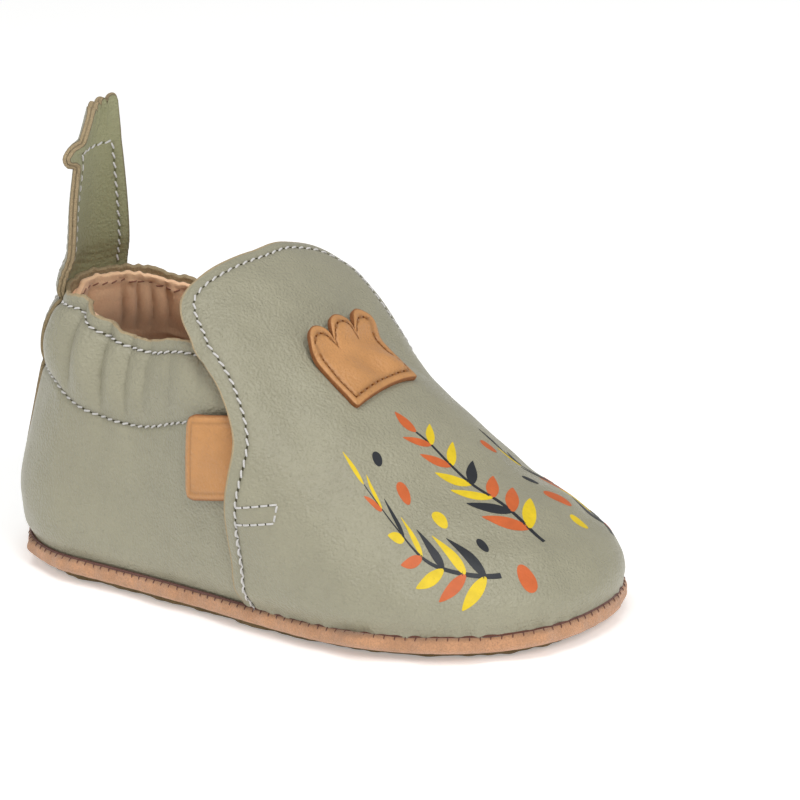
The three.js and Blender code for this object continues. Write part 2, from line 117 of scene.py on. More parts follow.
def waves(points: Array, length: float, seed: int, count: int = 14) -> Array:
    """Soft unevenness: a sum of plane waves in seeded directions, of about unit strength.

    Args:
        points: Places, in millimetres.
        length: Middle wavelength.
        seed: Seed of the directions, lengths and phases.
        count: Number of waves.

    Returns:
        One value for each place.
    """
    chance = np.random.default_rng(seed)
    facing = unit(chance.normal(size=(count, 3)))
    lengths = length * chance.uniform(0.7, 1.5, count)
    phases = chance.uniform(0.0, 2 * pi, count)
    angle = points @ (facing.T * (2 * pi / lengths)) + phases
    return np.sin(angle).sum(-1) / np.sqrt(count / 2)


def line_distance(points: Array, line: Array) -> Array:
    """Distance of each point from a line of short pieces.

    Args:
        points: Array of points on its last axis.
        line: Corners of the line.

    Returns:
        Distances, in the shape of the points.
    """
    run = np.diff(line, axis=0)
    square = np.maximum((run**2).sum(1), 1e-12)
    flat = points.reshape(-1, 3)
    found = np.empty(len(flat))
    for low in range(0, len(flat), CHUNK):
        part = flat[low : low + CHUNK, None] - line[:-1]
        share = clamp((part * run).sum(-1) / square)
        found[low : low + CHUNK] = np.linalg.norm(part - share[..., None] * run, axis=-1).min(1)
    return found.reshape(points.shape[:-1])


def lengths_along(line: Array) -> Array:
    """Length along a line at each of its corners."""
    return np.concatenate([[0.0], np.cumsum(np.linalg.norm(np.diff(line, axis=0), axis=1))])


def read_along(lengths: Array, values: Array, at: Array) -> Array:
    """Values of several columns at places along a line."""
    return np.stack([np.interp(at, lengths, column) for column in values.T], axis=1)


def grid_normals(points: Array, toward: Array) -> Array:
    """Unit normals of a grid of points, from the cross product of its two runs.

    Args:
        points: Rows by columns of points.
        toward: Rough outward direction at each point.

    Returns:
        Normals, all on the outward side.
    """
    normal = unit(np.cross(np.gradient(points, axis=0), np.gradient(points, axis=1)))
    return normal * (1.0 if (normal * toward).sum() > 0 else -1.0)


def scallop(across: Array, lobes: int, power: float = 1.0) -> Array:
    """Lobed edge: 0 at the tops of the lobes and 1 in the notches, 1 - (1 - t^2)^(power / 2)."""
    turn = np.abs(((across + 1) / 2 * lobes * 2) % 2 - 1)
    return 1 - np.sqrt(np.maximum(0.0, 1 - turn**2)) ** power


# Solids


@dataclass
class Solid:
    """Closed mesh in millimetres: points, four-cornered faces and named values at the points."""

    points: Array
    quads: Array
    values: dict[str, Array] = field(default_factory=dict)

    @classmethod
    def joined(cls, solids: Sequence["Solid"]) -> "Solid":
        """One solid out of several."""
        starts = np.cumsum([0] + [len(s.points) for s in solids[:-1]])
        names = solids[0].values
        return cls(
            np.concatenate([s.points for s in solids]),
            np.concatenate([s.quads + start for s, start in zip(solids, starts)]),
            {name: np.concatenate([s.values[name] for s in solids]) for name in names},
        )

    def outward(self) -> "Solid":
        """The same solid with its faces turned out, by the sign of its volume."""
        a, b, c, d = (self.points[self.quads[:, k]] for k in range(4))
        volume = (a * np.cross(b, c)).sum() + (a * np.cross(c, d)).sum()
        quads = self.quads if volume > 0 else self.quads[:, ::-1]
        return Solid(self.points, quads, self.values)

    def make(self, name: str, finish: "Finish", turned: float = 55.0) -> bpy.types.Object:
        """Puts the solid into the scene, with points that lie on each other merged.

        Args:
            name: Name of the piece.
            finish: What its surface is made of.
            turned: Angle in degrees above which an edge is sharp.

        Returns:
            The new object.
        """
        key = np.round(self.points / 1e-4).astype(np.int64)
        _, first, back = np.unique(key, axis=0, return_index=True, return_inverse=True)
        quads = back.reshape(-1)[self.quads]
        same = quads == np.roll(quads, -1, axis=1)
        folds = same.sum(1)
        three = quads[folds == 1][~same[folds == 1]].reshape(-1, 3)
        four = quads[folds == 0]
        mesh = bpy.data.meshes.new(name)
        points = self.points[first]
        mesh.vertices.add(len(points))
        mesh.vertices.foreach_set("co", (points * MM).astype(np.float32).ravel())
        corners = np.concatenate([four.ravel(), three.ravel()]).astype(np.int32)
        starts = np.concatenate(
            [np.arange(len(four)) * 4, len(four) * 4 + np.arange(len(three)) * 3]
        )
        mesh.loops.add(len(corners))
        mesh.loops.foreach_set("vertex_index", corners)
        mesh.polygons.add(len(starts))
        mesh.polygons.foreach_set("loop_start", starts.astype(np.int32))
        mesh.polygons.foreach_set("use_smooth", np.ones(len(starts), bool))
        for label, value in self.values.items():
            layer = mesh.attributes.new(label, "FLOAT", "POINT")
            layer.data.foreach_set("value", value[first].astype(np.float32))
        mesh.update(calc_edges=True)
        if mesh.validate():
            LOG.warning("%s: faces were put right", name)
        mesh.materials.append(finish.material())
        mesh.set_sharp_from_angle(angle=radians(turned))
        made = bpy.data.objects.new(name, mesh)
        bpy.context.scene.collection.objects.link(made)
        LOG.info("%s: %d points, %d faces", name, len(points), len(starts))
        return made


def shell(
    outer: Array, inner: Array, rim: int = 5, fullness: float = 0.5, pole: bool = False, wear: float = 0.0
) -> Solid:
    """Closed sheet between two grids, with a half-round rim.

    Args:
        outer: Rows by columns of points of the finished face.
        inner: The same for the back.
        rim: Steps round the rim.
        fullness: How far the rim stands out, as a share of half the thickness.
        pole: Whether the first row is one single point.
        wear: How far the finished face shows raw fibre right at its border.

    Returns:
        Solid whose value "raw" is 0 on the finished face and 1 on the rim and the back.
    """
    rows, columns = outer.shape[:2]
    index = np.arange(rows * columns).reshape(rows, columns)
    ring = np.concatenate([index[0, :-1], index[:-1, -1], index[-1, :0:-1], index[:0:-1, 0]])
    i, j = np.divmod(ring, columns)
    near = np.clip(i, 1, rows - 2) * columns + np.clip(j, 1, columns - 2)
    if pole:
        near = np.where(i == 0, index[1, columns // 2], near)
    face, back = outer.reshape(-1, 3), inner.reshape(-1, 3)
    middle, half = (face + back) / 2, ((face - back) / 2)[ring]
    out = unit(middle[ring] - middle[near]) * np.linalg.norm(half, axis=1)[:, None]
    turn = (pi * np.arange(1, rim) / rim)[:, None, None]
    across = np.sign(np.cos(turn)) * np.abs(np.cos(turn)) ** 0.7
    loops = middle[ring] + half * across + out * fullness * np.sin(turn) ** 0.7
    count, total = len(ring), rows * columns
    chain = [ring, *(2 * total + k * count + np.arange(count) for k in range(rim - 1)), ring + total]
    quads = [
        np.stack([index[:-1, :-1], index[1:, :-1], index[1:, 1:], index[:-1, 1:]], -1).reshape(-1, 4),
        np.stack([index[:-1, :-1], index[:-1, 1:], index[1:, 1:], index[1:, :-1]], -1).reshape(-1, 4)
        + total,
    ]
    for a, b in zip(chain[:-1], chain[1:]):
        quads.append(np.stack([a, np.roll(a, -1), np.roll(b, -1), b], axis=1))
    points = np.concatenate([face, back, loops.reshape(-1, 3)])
    core = np.repeat(0.5 + 0.5 * np.sin(turn.ravel()) ** 2, count)
    raw = np.concatenate([np.zeros(total), np.ones(total), core])
    raw[ring] = wear
    return Solid(points, np.concatenate(quads), {"raw": raw}).outward()


def rings(grid: Array) -> Solid:
    """Closed solid through rings of points, each ring closed round, the first and last folded flat.

    Args:
        grid: Rings by columns of points.

    Returns:
        The solid.
    """
    rows, columns = grid.shape[:2]
    index = np.arange(rows * columns).reshape(rows, columns)
    turned = np.roll(index, -1, axis=1)
    quads = np.stack([index[:-1], turned[:-1], turned[1:], index[1:]], -1).reshape(-1, 4)
    return Solid(grid.reshape(-1, 3), quads, {"raw": np.zeros(rows * columns)}).outward()


@dataclass(frozen=True)
class Skin:
    """Finished face of a piece: a grid of points with its normals, read at places between rows."""

    points: Array
    normals: Array

    def at(self, row: Array, column: Array) -> tuple[Array, Array]:
        """Point and normal between the grid's lines.

        Args:
            row: Rows, with fractions.
            column: Columns, with fractions.

        Returns:
            Points and unit normals, mixed from the four nearest of the grid.
        """
        rows, columns = self.points.shape[:2]
        row, column = np.clip(row, 0, rows - 1.001), np.clip(column, 0, columns - 1.001)
        i, j = row.astype(int), column.astype(int)
        u, v = (row - i)[..., None], (column - j)[..., None]

        def mixed(grid: Array) -> Array:
            """Mix of the four nearest values."""
            low = grid[i, j] * (1 - v) + grid[i, j + 1] * v
            high = grid[i + 1, j] * (1 - v) + grid[i + 1, j + 1] * v
            return low * (1 - u) + high * u

        return mixed(self.points), unit(mixed(self.normals))


# Finishes


class Graph:
    """One material's node tree, built a node at a time."""

    def __init__(self, name: str) -> None:
        """Starts an empty tree with a shader and an output."""
        self.made = bpy.data.materials.new(name)
        self.made.use_nodes = True
        self.tree = self.made.node_tree
        self.tree.nodes.clear()
        self.shader = self.tree.nodes.new("ShaderNodeBsdfPrincipled")
        output = self.tree.nodes.new("ShaderNodeOutputMaterial")
        self.tree.links.new(self.shader.outputs[0], output.inputs[0])
        self.place = self.tree.nodes.new("ShaderNodeTexCoord").outputs["Object"]

    def feed(self, socket: bpy.types.NodeSocket, value: object) -> None:
        """Links a socket, or sets its value."""
        if isinstance(value, bpy.types.NodeSocket):
            self.tree.links.new(value, socket)
        elif isinstance(value, tuple) and len(value) == 3 and socket.type == "RGBA":
            socket.default_value = (*value, 1.0)
        else:
            socket.default_value = value

    def node(self, kind: str, settings: dict[str, object], **inputs: object) -> bpy.types.Node:
        """Adds a node.

        Args:
            kind: Type of node, without its prefix.
            settings: Properties of the node itself.
            inputs: Values or sockets for its inputs, by name.

        Returns:
            The node.
        """
        made = self.tree.nodes.new("ShaderNode" + kind)
        for name, value in settings.items():
            setattr(made, name, value)
        for name, value in inputs.items():
            self.feed(made.inputs[name], value)
        return made

    def noise(self, size: float, detail: float = 2.0, rough: float = 0.5) -> bpy.types.NodeSocket:
        """Noise whose lumps are about `size` millimetres."""
        scale = 1.0 / (size * MM)
        made = self.node("TexNoise", {}, Vector=self.place, Scale=scale, Detail=detail, Roughness=rough)
        return made.outputs["Fac"]

    def cells(self, size: float, feature: str = "F1") -> bpy.types.NodeSocket:
        """Distance inside cells of about `size` millimetres."""
        scale = 1.0 / (size * MM)
        made = self.node("TexVoronoi", {"feature": feature}, Vector=self.place, Scale=scale)
        return made.outputs["Distance"]

    def value(self, name: str) -> bpy.types.NodeSocket:
        """Value that the mesh carries at its points."""
        return self.node("Attribute", {"attribute_name": name}).outputs["Fac"]

    def math(self, kind: str, first: object, second: object = 0.0) -> bpy.types.NodeSocket:
        """Arithmetic on one or two values."""
        made = self.tree.nodes.new("ShaderNodeMath")
        made.operation = kind
        self.feed(made.inputs[0], first)
        self.feed(made.inputs[1], second)
        return made.outputs[0]

    def span(self, value: object, low: float, high: float, to: tuple[float, float]) -> bpy.types.NodeSocket:
        """Value from one range brought to another, and held there."""
        made = self.node("MapRange", {"clamp": True}, Value=value)
        made.inputs["From Min"].default_value = low
        made.inputs["From Max"].default_value = high
        made.inputs["To Min"].default_value = to[0]
        made.inputs["To Max"].default_value = to[1]
        return made.outputs["Result"]

    def mix(self, share: object, first: object, second: object) -> bpy.types.NodeSocket:
        """Mix of two colours."""
        made = self.tree.nodes.new("ShaderNodeMix")
        made.data_type = "RGBA"
        self.feed(made.inputs[0], share)
        self.feed(made.inputs[6], first)
        self.feed(made.inputs[7], second)
        return made.outputs[2]

    def bump(self, height: object, depth: float, before: object = None) -> bpy.types.NodeSocket:
        """Relief `depth` millimetres deep."""
        made = self.node("Bump", {}, Height=height, Strength=1.0, Distance=depth * MM)
        if before is not None:
            self.feed(made.inputs["Normal"], before)
        return made.outputs["Normal"]

    def finish(self, **inputs: object) -> bpy.types.Material:
        """Sets the shader's inputs by name, with _ for a space, and gives the material."""
        for name, value in inputs.items():
            self.feed(self.shader.inputs[name.replace("_", " ")], value)
        return self.made


def tone(code: str, factor: float = 1.0) -> tuple[float, float, float]:
    """Linear colour of a hex code, made lighter or darker by a factor."""
    parts = np.array([int(code[k : k + 2], 16) for k in (1, 3, 5)]) / 255
    linear = np.where(parts <= 0.04045, parts / 12.92, ((parts + 0.055) / 1.055) ** 2.4)
    return tuple(float(v) for v in np.minimum(linear * factor, 1.0))


@dataclass(frozen=True)
class Finish:
    """What a surface is made of."""

    name: str
    colour: str

    def material(self) -> bpy.types.Material:
        """The finish's material, made once."""
        return bpy.data.materials.get(self.name) or self.build()

    def build(self) -> bpy.types.Material:
        """Makes the material."""
        raise NotImplementedError


@dataclass(frozen=True)
class Leather(Finish):
    """Smooth-grained leather whose cut edges and back show raw fibre."""

    raw: str = "#b5a07c"
    grain: float = 0.55
    depth: float = 0.2
    gloss: float = 0.37
    mottle: float = 0.035
    burn: float = 0.95

    def build(self) -> bpy.types.Material:
        """Makes the material: pebbled cells, pores and fine wrinkles over a mottled colour, darkened by
        painted shade in grooves and creases.
        """
        g = Graph(self.name)
        cloud = g.noise(9.0, 3.0, 0.6)
        speck = g.noise(0.35, 2.0, 0.6)
        low, high = tone(self.colour, 1 - self.mottle), tone(self.colour, 1 + self.mottle)
        face = g.mix(g.span(cloud, 0.35, 0.65, (0.0, 1.0)), low, high)
        face = g.mix(g.span(speck, 0.56, 0.72, (0.0, 0.22)), face, tone(self.colour, 0.62))
        fibre = g.noise(0.22, 4.0, 0.7)
        edge = g.mix(g.span(fibre, 0.3, 0.7, (0.0, 1.0)), tone(self.raw, 0.62), tone(self.raw, 1.12))
        raw = g.value("raw")
        colour = g.mix(g.span(raw, 0.0, 0.45, (0.0, 1.0)), face, tone(self.raw, self.burn))
        colour = g.mix(g.span(raw, 0.5, 0.9, (0.0, 1.0)), colour, edge)
        # Painted shade: colour darkened in stitch grooves, creases and recesses, by a value that each piece
        # carries.
        painted_shade_level = g.value("dent")
        colour = g.mix(g.math("MULTIPLY", painted_shade_level, 0.5), colour, tone(self.colour, 0.4))
        pebble = g.cells(self.grain, "SMOOTH_F1")
        crack = g.math("ABSOLUTE", g.math("SUBTRACT", g.noise(2.6, 4.0, 0.62), 0.5))
        wrinkle = g.span(crack, 0.0, 0.045, (0.0, 1.0))
        height = g.math("ADD", g.math("MULTIPLY", pebble, -0.9), g.math("MULTIPLY", wrinkle, 0.16))
        height = g.math("ADD", height, g.math("MULTIPLY", speck, 0.5))
        normal = g.bump(g.math("MULTIPLY", fibre, raw), 0.25, g.bump(height, self.depth))
        rough = g.span(cloud, 0.3, 0.7, (self.gloss - 0.05, self.gloss + 0.07))
        rough = g.math("ADD", rough, g.math("MULTIPLY", raw, 0.4))
        return g.finish(
            Base_Color=colour,
            Roughness=rough,
            Normal=normal,
            IOR=1.45,
            Sheen_Weight=0.04,
            Sheen_Roughness=0.5,
        )


@dataclass(frozen=True)
class Suede(Finish):
    """Napped leather: a soft matt surface of short fibres."""

    nap: float = 0.4
    depth: float = 0.22
    sheen: float = 0.35
    mottle: float = 0.2
    shade: float = 0.55

    def build(self) -> bpy.types.Material:
        """Makes the material: tufted noise at two scales over a mottled colour, darkened by painted shade in
        creases and recesses.
        """
        g = Graph(self.name)
        cloud = g.noise(6.0, 4.0, 0.65)
        tuft = g.noise(self.nap, 5.0, 0.72)
        low, high = tone(self.colour, 1 - self.mottle), tone(self.colour, 1 + self.mottle)
        colour = g.mix(g.span(cloud, 0.3, 0.7, (0.0, 1.0)), low, high)
        colour = g.mix(g.span(tuft, 0.34, 0.6, (self.shade, 0.0)), colour, tone(self.colour, 0.55))
        # Painted shade: colour darkened in creases and recesses, by a value that each piece carries.
        colour = g.mix(g.math("MULTIPLY", g.value("dent"), 0.6), colour, tone(self.colour, 0.36))
        normal = g.bump(tuft, self.depth, g.bump(cloud, 0.25))
        return g.finish(
            Base_Color=colour,
            Roughness=0.95,
            Normal=normal,
            IOR=1.4,
            Specular_IOR_Level=0.2,
            Sheen_Weight=self.sheen,
            Sheen_Roughness=0.6,
        )


@dataclass(frozen=True)
class Thread(Finish):
    """Twisted sewing thread."""

    twist: float = 2.6
    depth: float = 0.09

    def build(self) -> bpy.types.Material:
        """Makes the material: slanting plies from the values `run` and `turn` that stitches carry, with
        painted shade in the grooves between them.
        """
        g = Graph(self.name)
        slant = g.math("ADD", g.math("MULTIPLY", g.value("run"), self.twist), g.value("turn"))
        ply = g.math("ABSOLUTE", g.math("SINE", g.math("MULTIPLY", slant, 2 * pi)))
        fuzz = g.noise(0.12, 3.0, 0.6)
        # Painted shade: darker in the grooves between the plies.
        colour = g.mix(g.span(ply, 0.0, 0.5, (0.5, 0.0)), tone(self.colour), tone(self.colour, 0.55))
        colour = g.mix(g.span(fuzz, 0.35, 0.65, (0.0, 0.3)), colour, tone(self.colour, 1.25))
        normal = g.bump(g.math("ADD", ply, g.math("MULTIPLY", fuzz, 0.4)), self.depth)
        return g.finish(Base_Color=colour, Roughness=0.7, Normal=normal, Sheen_Weight=0.2)


@dataclass(frozen=True)
class Ink(Finish):
    """Flat printing ink that lets the leather's grain show."""

    def build(self) -> bpy.types.Material:
        """Makes the material: slightly uneven colour over the leather's own relief."""
        g = Graph(self.name)
        cloud = g.noise(3.0, 3.0, 0.6)
        speck = g.noise(0.35, 2.0, 0.6)
        colour = g.mix(g.span(cloud, 0.3, 0.7, (0.0, 1.0)), tone(self.colour, 0.9), tone(self.colour, 1.08))
        colour = g.mix(g.span(speck, 0.6, 0.75, (0.0, 0.3)), colour, tone(self.colour, 0.6))
        pebble = g.math("MULTIPLY", g.cells(0.62, "SMOOTH_F1"), -0.7)
        height = g.math("ADD", pebble, g.math("MULTIPLY", speck, 0.5))
        return g.finish(Base_Color=colour, Roughness=0.5, Normal=g.bump(height, 0.045), IOR=1.45)


@dataclass(frozen=True)
class Plain(Finish):
    """The studio floor: pale and matt, with a trace of unevenness."""

    def build(self) -> bpy.types.Material:
        """Makes the material."""
        g = Graph(self.name)
        colour = g.mix(g.noise(400.0), tone(self.colour, 0.99), tone(self.colour, 1.0))
        return g.finish(
            Base_Color=colour,
            Roughness=0.9,
            Specular_IOR_Level=0.1,
            Emission_Color=(1.0, 1.0, 1.0),
            Emission_Strength=0.28,
        )


SAGE = Leather("sage_leather", "#9b9781", depth=0.25, gloss=0.34)
STRAP = Leather("strap_sage_leather", "#9b9781", burn=0.3)
OLIVE = Leather("olive_leather", "#93926f", gloss=0.5, burn=0.3)
TAN = Leather("tan_leather", "#bf8a56", raw="#9c5f2c", gloss=0.4, depth=0.16, mottle=0.09, burn=0.7)
PEACH = Suede("peach_suede", "#cf9a72", depth=0.32)
LINING = Suede("lining_suede", "#ffcfa6", nap=0.5, depth=0.14, sheen=0.3, mottle=0.08, shade=0.15)
BROWN = Suede("brown_tread", "#84704c", nap=0.8, depth=0.5, sheen=0.1, mottle=0.3)
WHITE_THREAD = Thread("white_thread", "#d9d6d3")
OCHRE_THREAD = Thread("ochre_thread", "#9a6225")
RUST_THREAD = Thread("rust_thread", "#6b3a2a")
# The lining's stitch line: a brown darker than the lining, partly thread and partly painted shade of its
# needle holes.
LINING_THREAD = Thread("lining_thread", "#94604a")
# Needle holes: dark lenses whose colour is painted shade of the holes.
HOLE_SHADE = Suede("needle_hole_shade", "#4a4636", sheen=0.0)
OLIVE_HOLE_SHADE = Suede("olive_needle_hole_shade", "#6e6d50", sheen=0.0)
TAN_HOLE_SHADE = Suede("tan_needle_hole_shade", "#6e3f1c", sheen=0.0)
INKS = {
    "dark": Ink("dark_ink", "#23262b"),
    "orange": Ink("orange_ink", "#c8622f"),
    "yellow": Ink("yellow_ink", "#e0c21e"),
}


# The foot's form


@dataclass(frozen=True)
class FootForm:
    """Rounded form of the foot that the slipper is cut to, as in the part's source."""

    length: float = 130.0
    ball_width: float = 61.0
    toe_swing: float = 3.0
    instep_rise: float = 55.0
    collar_rise: float = 50.0
    side_bulge: float = 1.6
    heel_bulge: float = 2.2
    bulge_rise: float = 11.0
    heel_lean: float = 9.8
    collar_draw: float = 5.0
    seam_z: float = 5.3
    lap: float = 13.0
    front_rake: float = 0.075
    heel_round: float = 0.19
    toe_round: float = 0.36
    toe_power: float = 2.3
    toe_cap: float = 0.19
    cap_power: float = 2.2
    # along, outer and inner share of half the ball width
    plan: tuple = ((0, 0.81, 0.81), (0.18, 0.83, 0.82), (0.42, 0.9, 0.83), (0.7, 1.03, 0.97), (1, 1.05, 1))
    # along, share of the instep rise, outer and inner arch power
    top: tuple = (
        (0, 1.1, 6, 6), (0.4, 1.03, 9, 14), (0.45, 0.99, 7.2, 11), (0.47, 0.97, 6.6, 9.5),
        (0.5, 0.93, 5.6, 6), (0.54, 0.866, 4.7, 3), (0.58, 0.79, 4, 2.2), (0.66, 0.65, 3.1, 2),
        (0.72, 0.53, 2.7, 2), (0.8, 0.38, 2.3, 2), (1, 0.23, 2, 2),
    )  # fmt: skip
    # along, outer and inner share of the collar rise
    collar: tuple = (
        (0, 1, 1), (0.03, 0.997, 0.996), (0.06, 1.01, 0.972), (0.09, 1.016, 0.944), (0.122, 1.02, 0.927),
        (0.17, 0.982, 0.905), (0.21, 0.962, 0.893), (0.285, 0.937, 0.882), (0.345, 0.94, 0.9),
        (0.415, 0.98, 0.95), (0.48, 0.95, 0.935), (0.58, 0.78, 0.77),
    )  # fmt: skip
    # turn up the arch, outer and inner station of the vamp's rear edge
    edge: tuple = (
        (0, 0.54, 0.54), (0.12, 0.54, 0.54), (0.25, 0.541, 0.54), (0.38, 0.545, 0.54),
        (0.48, 0.54, 0.535), (0.57, 0.504, 0.522), (0.64, 0.452, 0.5), (0.7, 0.413, 0.463),
        (0.78, 0.395, 0.424), (0.9, 0.4, 0.408), (1, 0.406, 0.406),
    )  # fmt: skip

    def end_round(self, along: Array) -> Array:
        """Share of the width left at a station."""
        heel = np.maximum(0.0, 1 - along / self.heel_round)
        toe = np.maximum(0.0, (along - 1 + self.toe_round) / self.toe_round)
        rounded = np.maximum(0.0, 1 - toe**self.toe_power) ** (1 / self.toe_power)
        return np.sqrt(np.maximum(0.0, 1 - heel**2)) * rounded

    def ridge_rise(self, along: Array) -> Array:
        """Height of the closed form's ridge above the seam."""
        curl = np.maximum(0.0, (along - 1 + self.toe_cap) / self.toe_cap)
        front = np.maximum(0.0, 1 - curl**self.cap_power) ** (1 / self.cap_power)
        return self.instep_rise * table_at(self.top, 1, along) * front

    def swell(self, rise: Array) -> Array:
        """Swell of the soft wall just above the seam, from 0 to 1."""
        share = rise / self.bulge_rise
        return share * np.exp(1 - share)

    def swing(self, along: Array) -> Array:
        """Sideways place of the centre line."""
        return self.toe_swing * clamp((along - 0.5) / 0.5) ** 1.5

    def point(self, along: Array, side: Array, rise: Array) -> Array:
        """Point of the form at a station, a side and a height above the seam.

        The half width is the plan's, plus the swell and less the collar's draw, times
        (1 - (rise / ridge)^power)^0.5; the heel leans forward with (rise / collar)^1.5.
        """
        along, side, rise = np.broadcast_arrays(along, side, rise)
        shares = np.where(side < 0, table_at(self.plan, 1, along), table_at(self.plan, 2, along))
        rounded = self.end_round(along)
        half = self.ball_width / 2 * shares * rounded
        ridge = np.maximum(self.ridge_rise(along), 1e-6)
        climbed = np.maximum(0.0, rise)
        power = np.where(side < 0, table_at(self.top, 2, along), table_at(self.top, 3, along))
        arch = np.maximum(0.0, 1 - (climbed / ridge) ** power) ** 0.5
        heel = 1 - ease(along / 0.4)
        drawn = self.collar_draw * ease(rise / self.collar_rise) * (1 - ease((along - 0.3) / 0.2)) * rounded
        fade = 1 - 0.6 * ease((along - 0.6) / 0.4)
        wide = half + self.side_bulge * self.swell(rise) * rounded * fade - drawn
        lean = self.heel_lean * (climbed / self.collar_rise) ** 1.5 - self.heel_bulge * self.swell(rise)
        x = self.length * (along - 0.5) + heel * lean
        return np.stack([x, self.swing(along) + side * wide * arch, self.seam_z + rise], axis=-1)

    def edge_at(self, turn: Array) -> Array:
        """Station of the vamp's rear edge at a turn over the arch, -1 to 1."""
        climb = 1 - np.abs(turn)
        return np.where(turn < 0, table_at(self.edge, 1, climb), table_at(self.edge, 2, climb))

    def quarter_front(self, height: Array) -> Array:
        """Station of the quarter's front end at a height share."""
        return 0.54 + self.lap / self.length - self.front_rake * height

    def wall(self, turn: Array, along: Array) -> Array:
        """Height of the quarter's wall above the seam."""
        share = np.where(turn < 0, table_at(self.collar, 1, along), table_at(self.collar, 2, along))
        return self.collar_rise * share

    def quarter(self, turn: Array, height: Array) -> Array:
        """Point of the quarter's wall at a turn round the heel and a share of its height."""
        turn, height = np.broadcast_arrays(turn, height)
        along = self.quarter_front(height) * (1 - np.cos(pi / 2 * np.minimum(1.0, np.abs(turn))))
        rise = height * self.wall(turn, along)
        return self.point(along, np.where(turn < 0, OUTER, INNER), rise)

    def arch(self, along: Array, turn: Array) -> Array:
        """Point of the arch at a station, from the outer foot (-1) over the ridge to the inner (1)."""
        along, turn = np.broadcast_arrays(along, turn)
        rise = self.ridge_rise(along) * np.cos(pi / 2 * turn)
        return self.point(along, np.where(turn < 0, OUTER, INNER), rise)

    def outline(self, offset: Array, z: Array, count: int) -> Array:
        """Ring round the sole seam, moved out by an offset.

        Args:
            offset: Distance outwards, one number or one for each column.
            z: Height, the same.
            count: Steps on each side.

        Returns:
            Points from the heel up the outer side to the toe and back on the inner side.
        """
        share = np.arange(count + 1) / count
        along = (1 - np.cos(pi * share)) / 2
        outer = self.point(along, OUTER, 0.0)
        inner = self.point(along, INNER, 0.0)
        ring = np.concatenate([outer, inner[-2:0:-1]])[:, :2]
        run = unit(np.pad(np.roll(ring, -1, 0) - np.roll(ring, 1, 0), ((0, 0), (0, 1))))
        out = np.stack([run[:, 1], -run[:, 0]], axis=1)
        out *= 1.0 if (out * (ring - ring.mean(0))).sum() > 0 else -1.0
        moved = ring + out * np.broadcast_to(offset, len(ring))[:, None]
        return np.column_stack([moved, np.broadcast_to(z, len(ring))])


def crossing(values: Array) -> Array:
    """Fractional row, in each column, where values that fall with the row pass zero.

    Args:
        values: Rows by columns.

    Returns:
        One row number for each column.
    """
    rows, columns = values.shape
    last = rows - 1 - np.argmax((values > 0)[::-1], axis=0)
    after, column = np.minimum(last + 1, rows - 1), np.arange(columns)
    here, there = values[last, column], values[after, column]
    return last + clamp(here / np.maximum(here - there, TINY))


def solve(value: Callable[[Array], Array], wanted: Array) -> Array:
    """Share from 0 to 1 at which a rising function reaches the wanted values, by halving."""
    low, high = np.zeros_like(wanted), np.ones_like(wanted)
    for _ in range(26):
        middle = (low + high) / 2
        short = value(middle) < wanted
        low, high = np.where(short, middle, low), np.where(short, high, middle)
    return (low + high) / 2


# Stitches


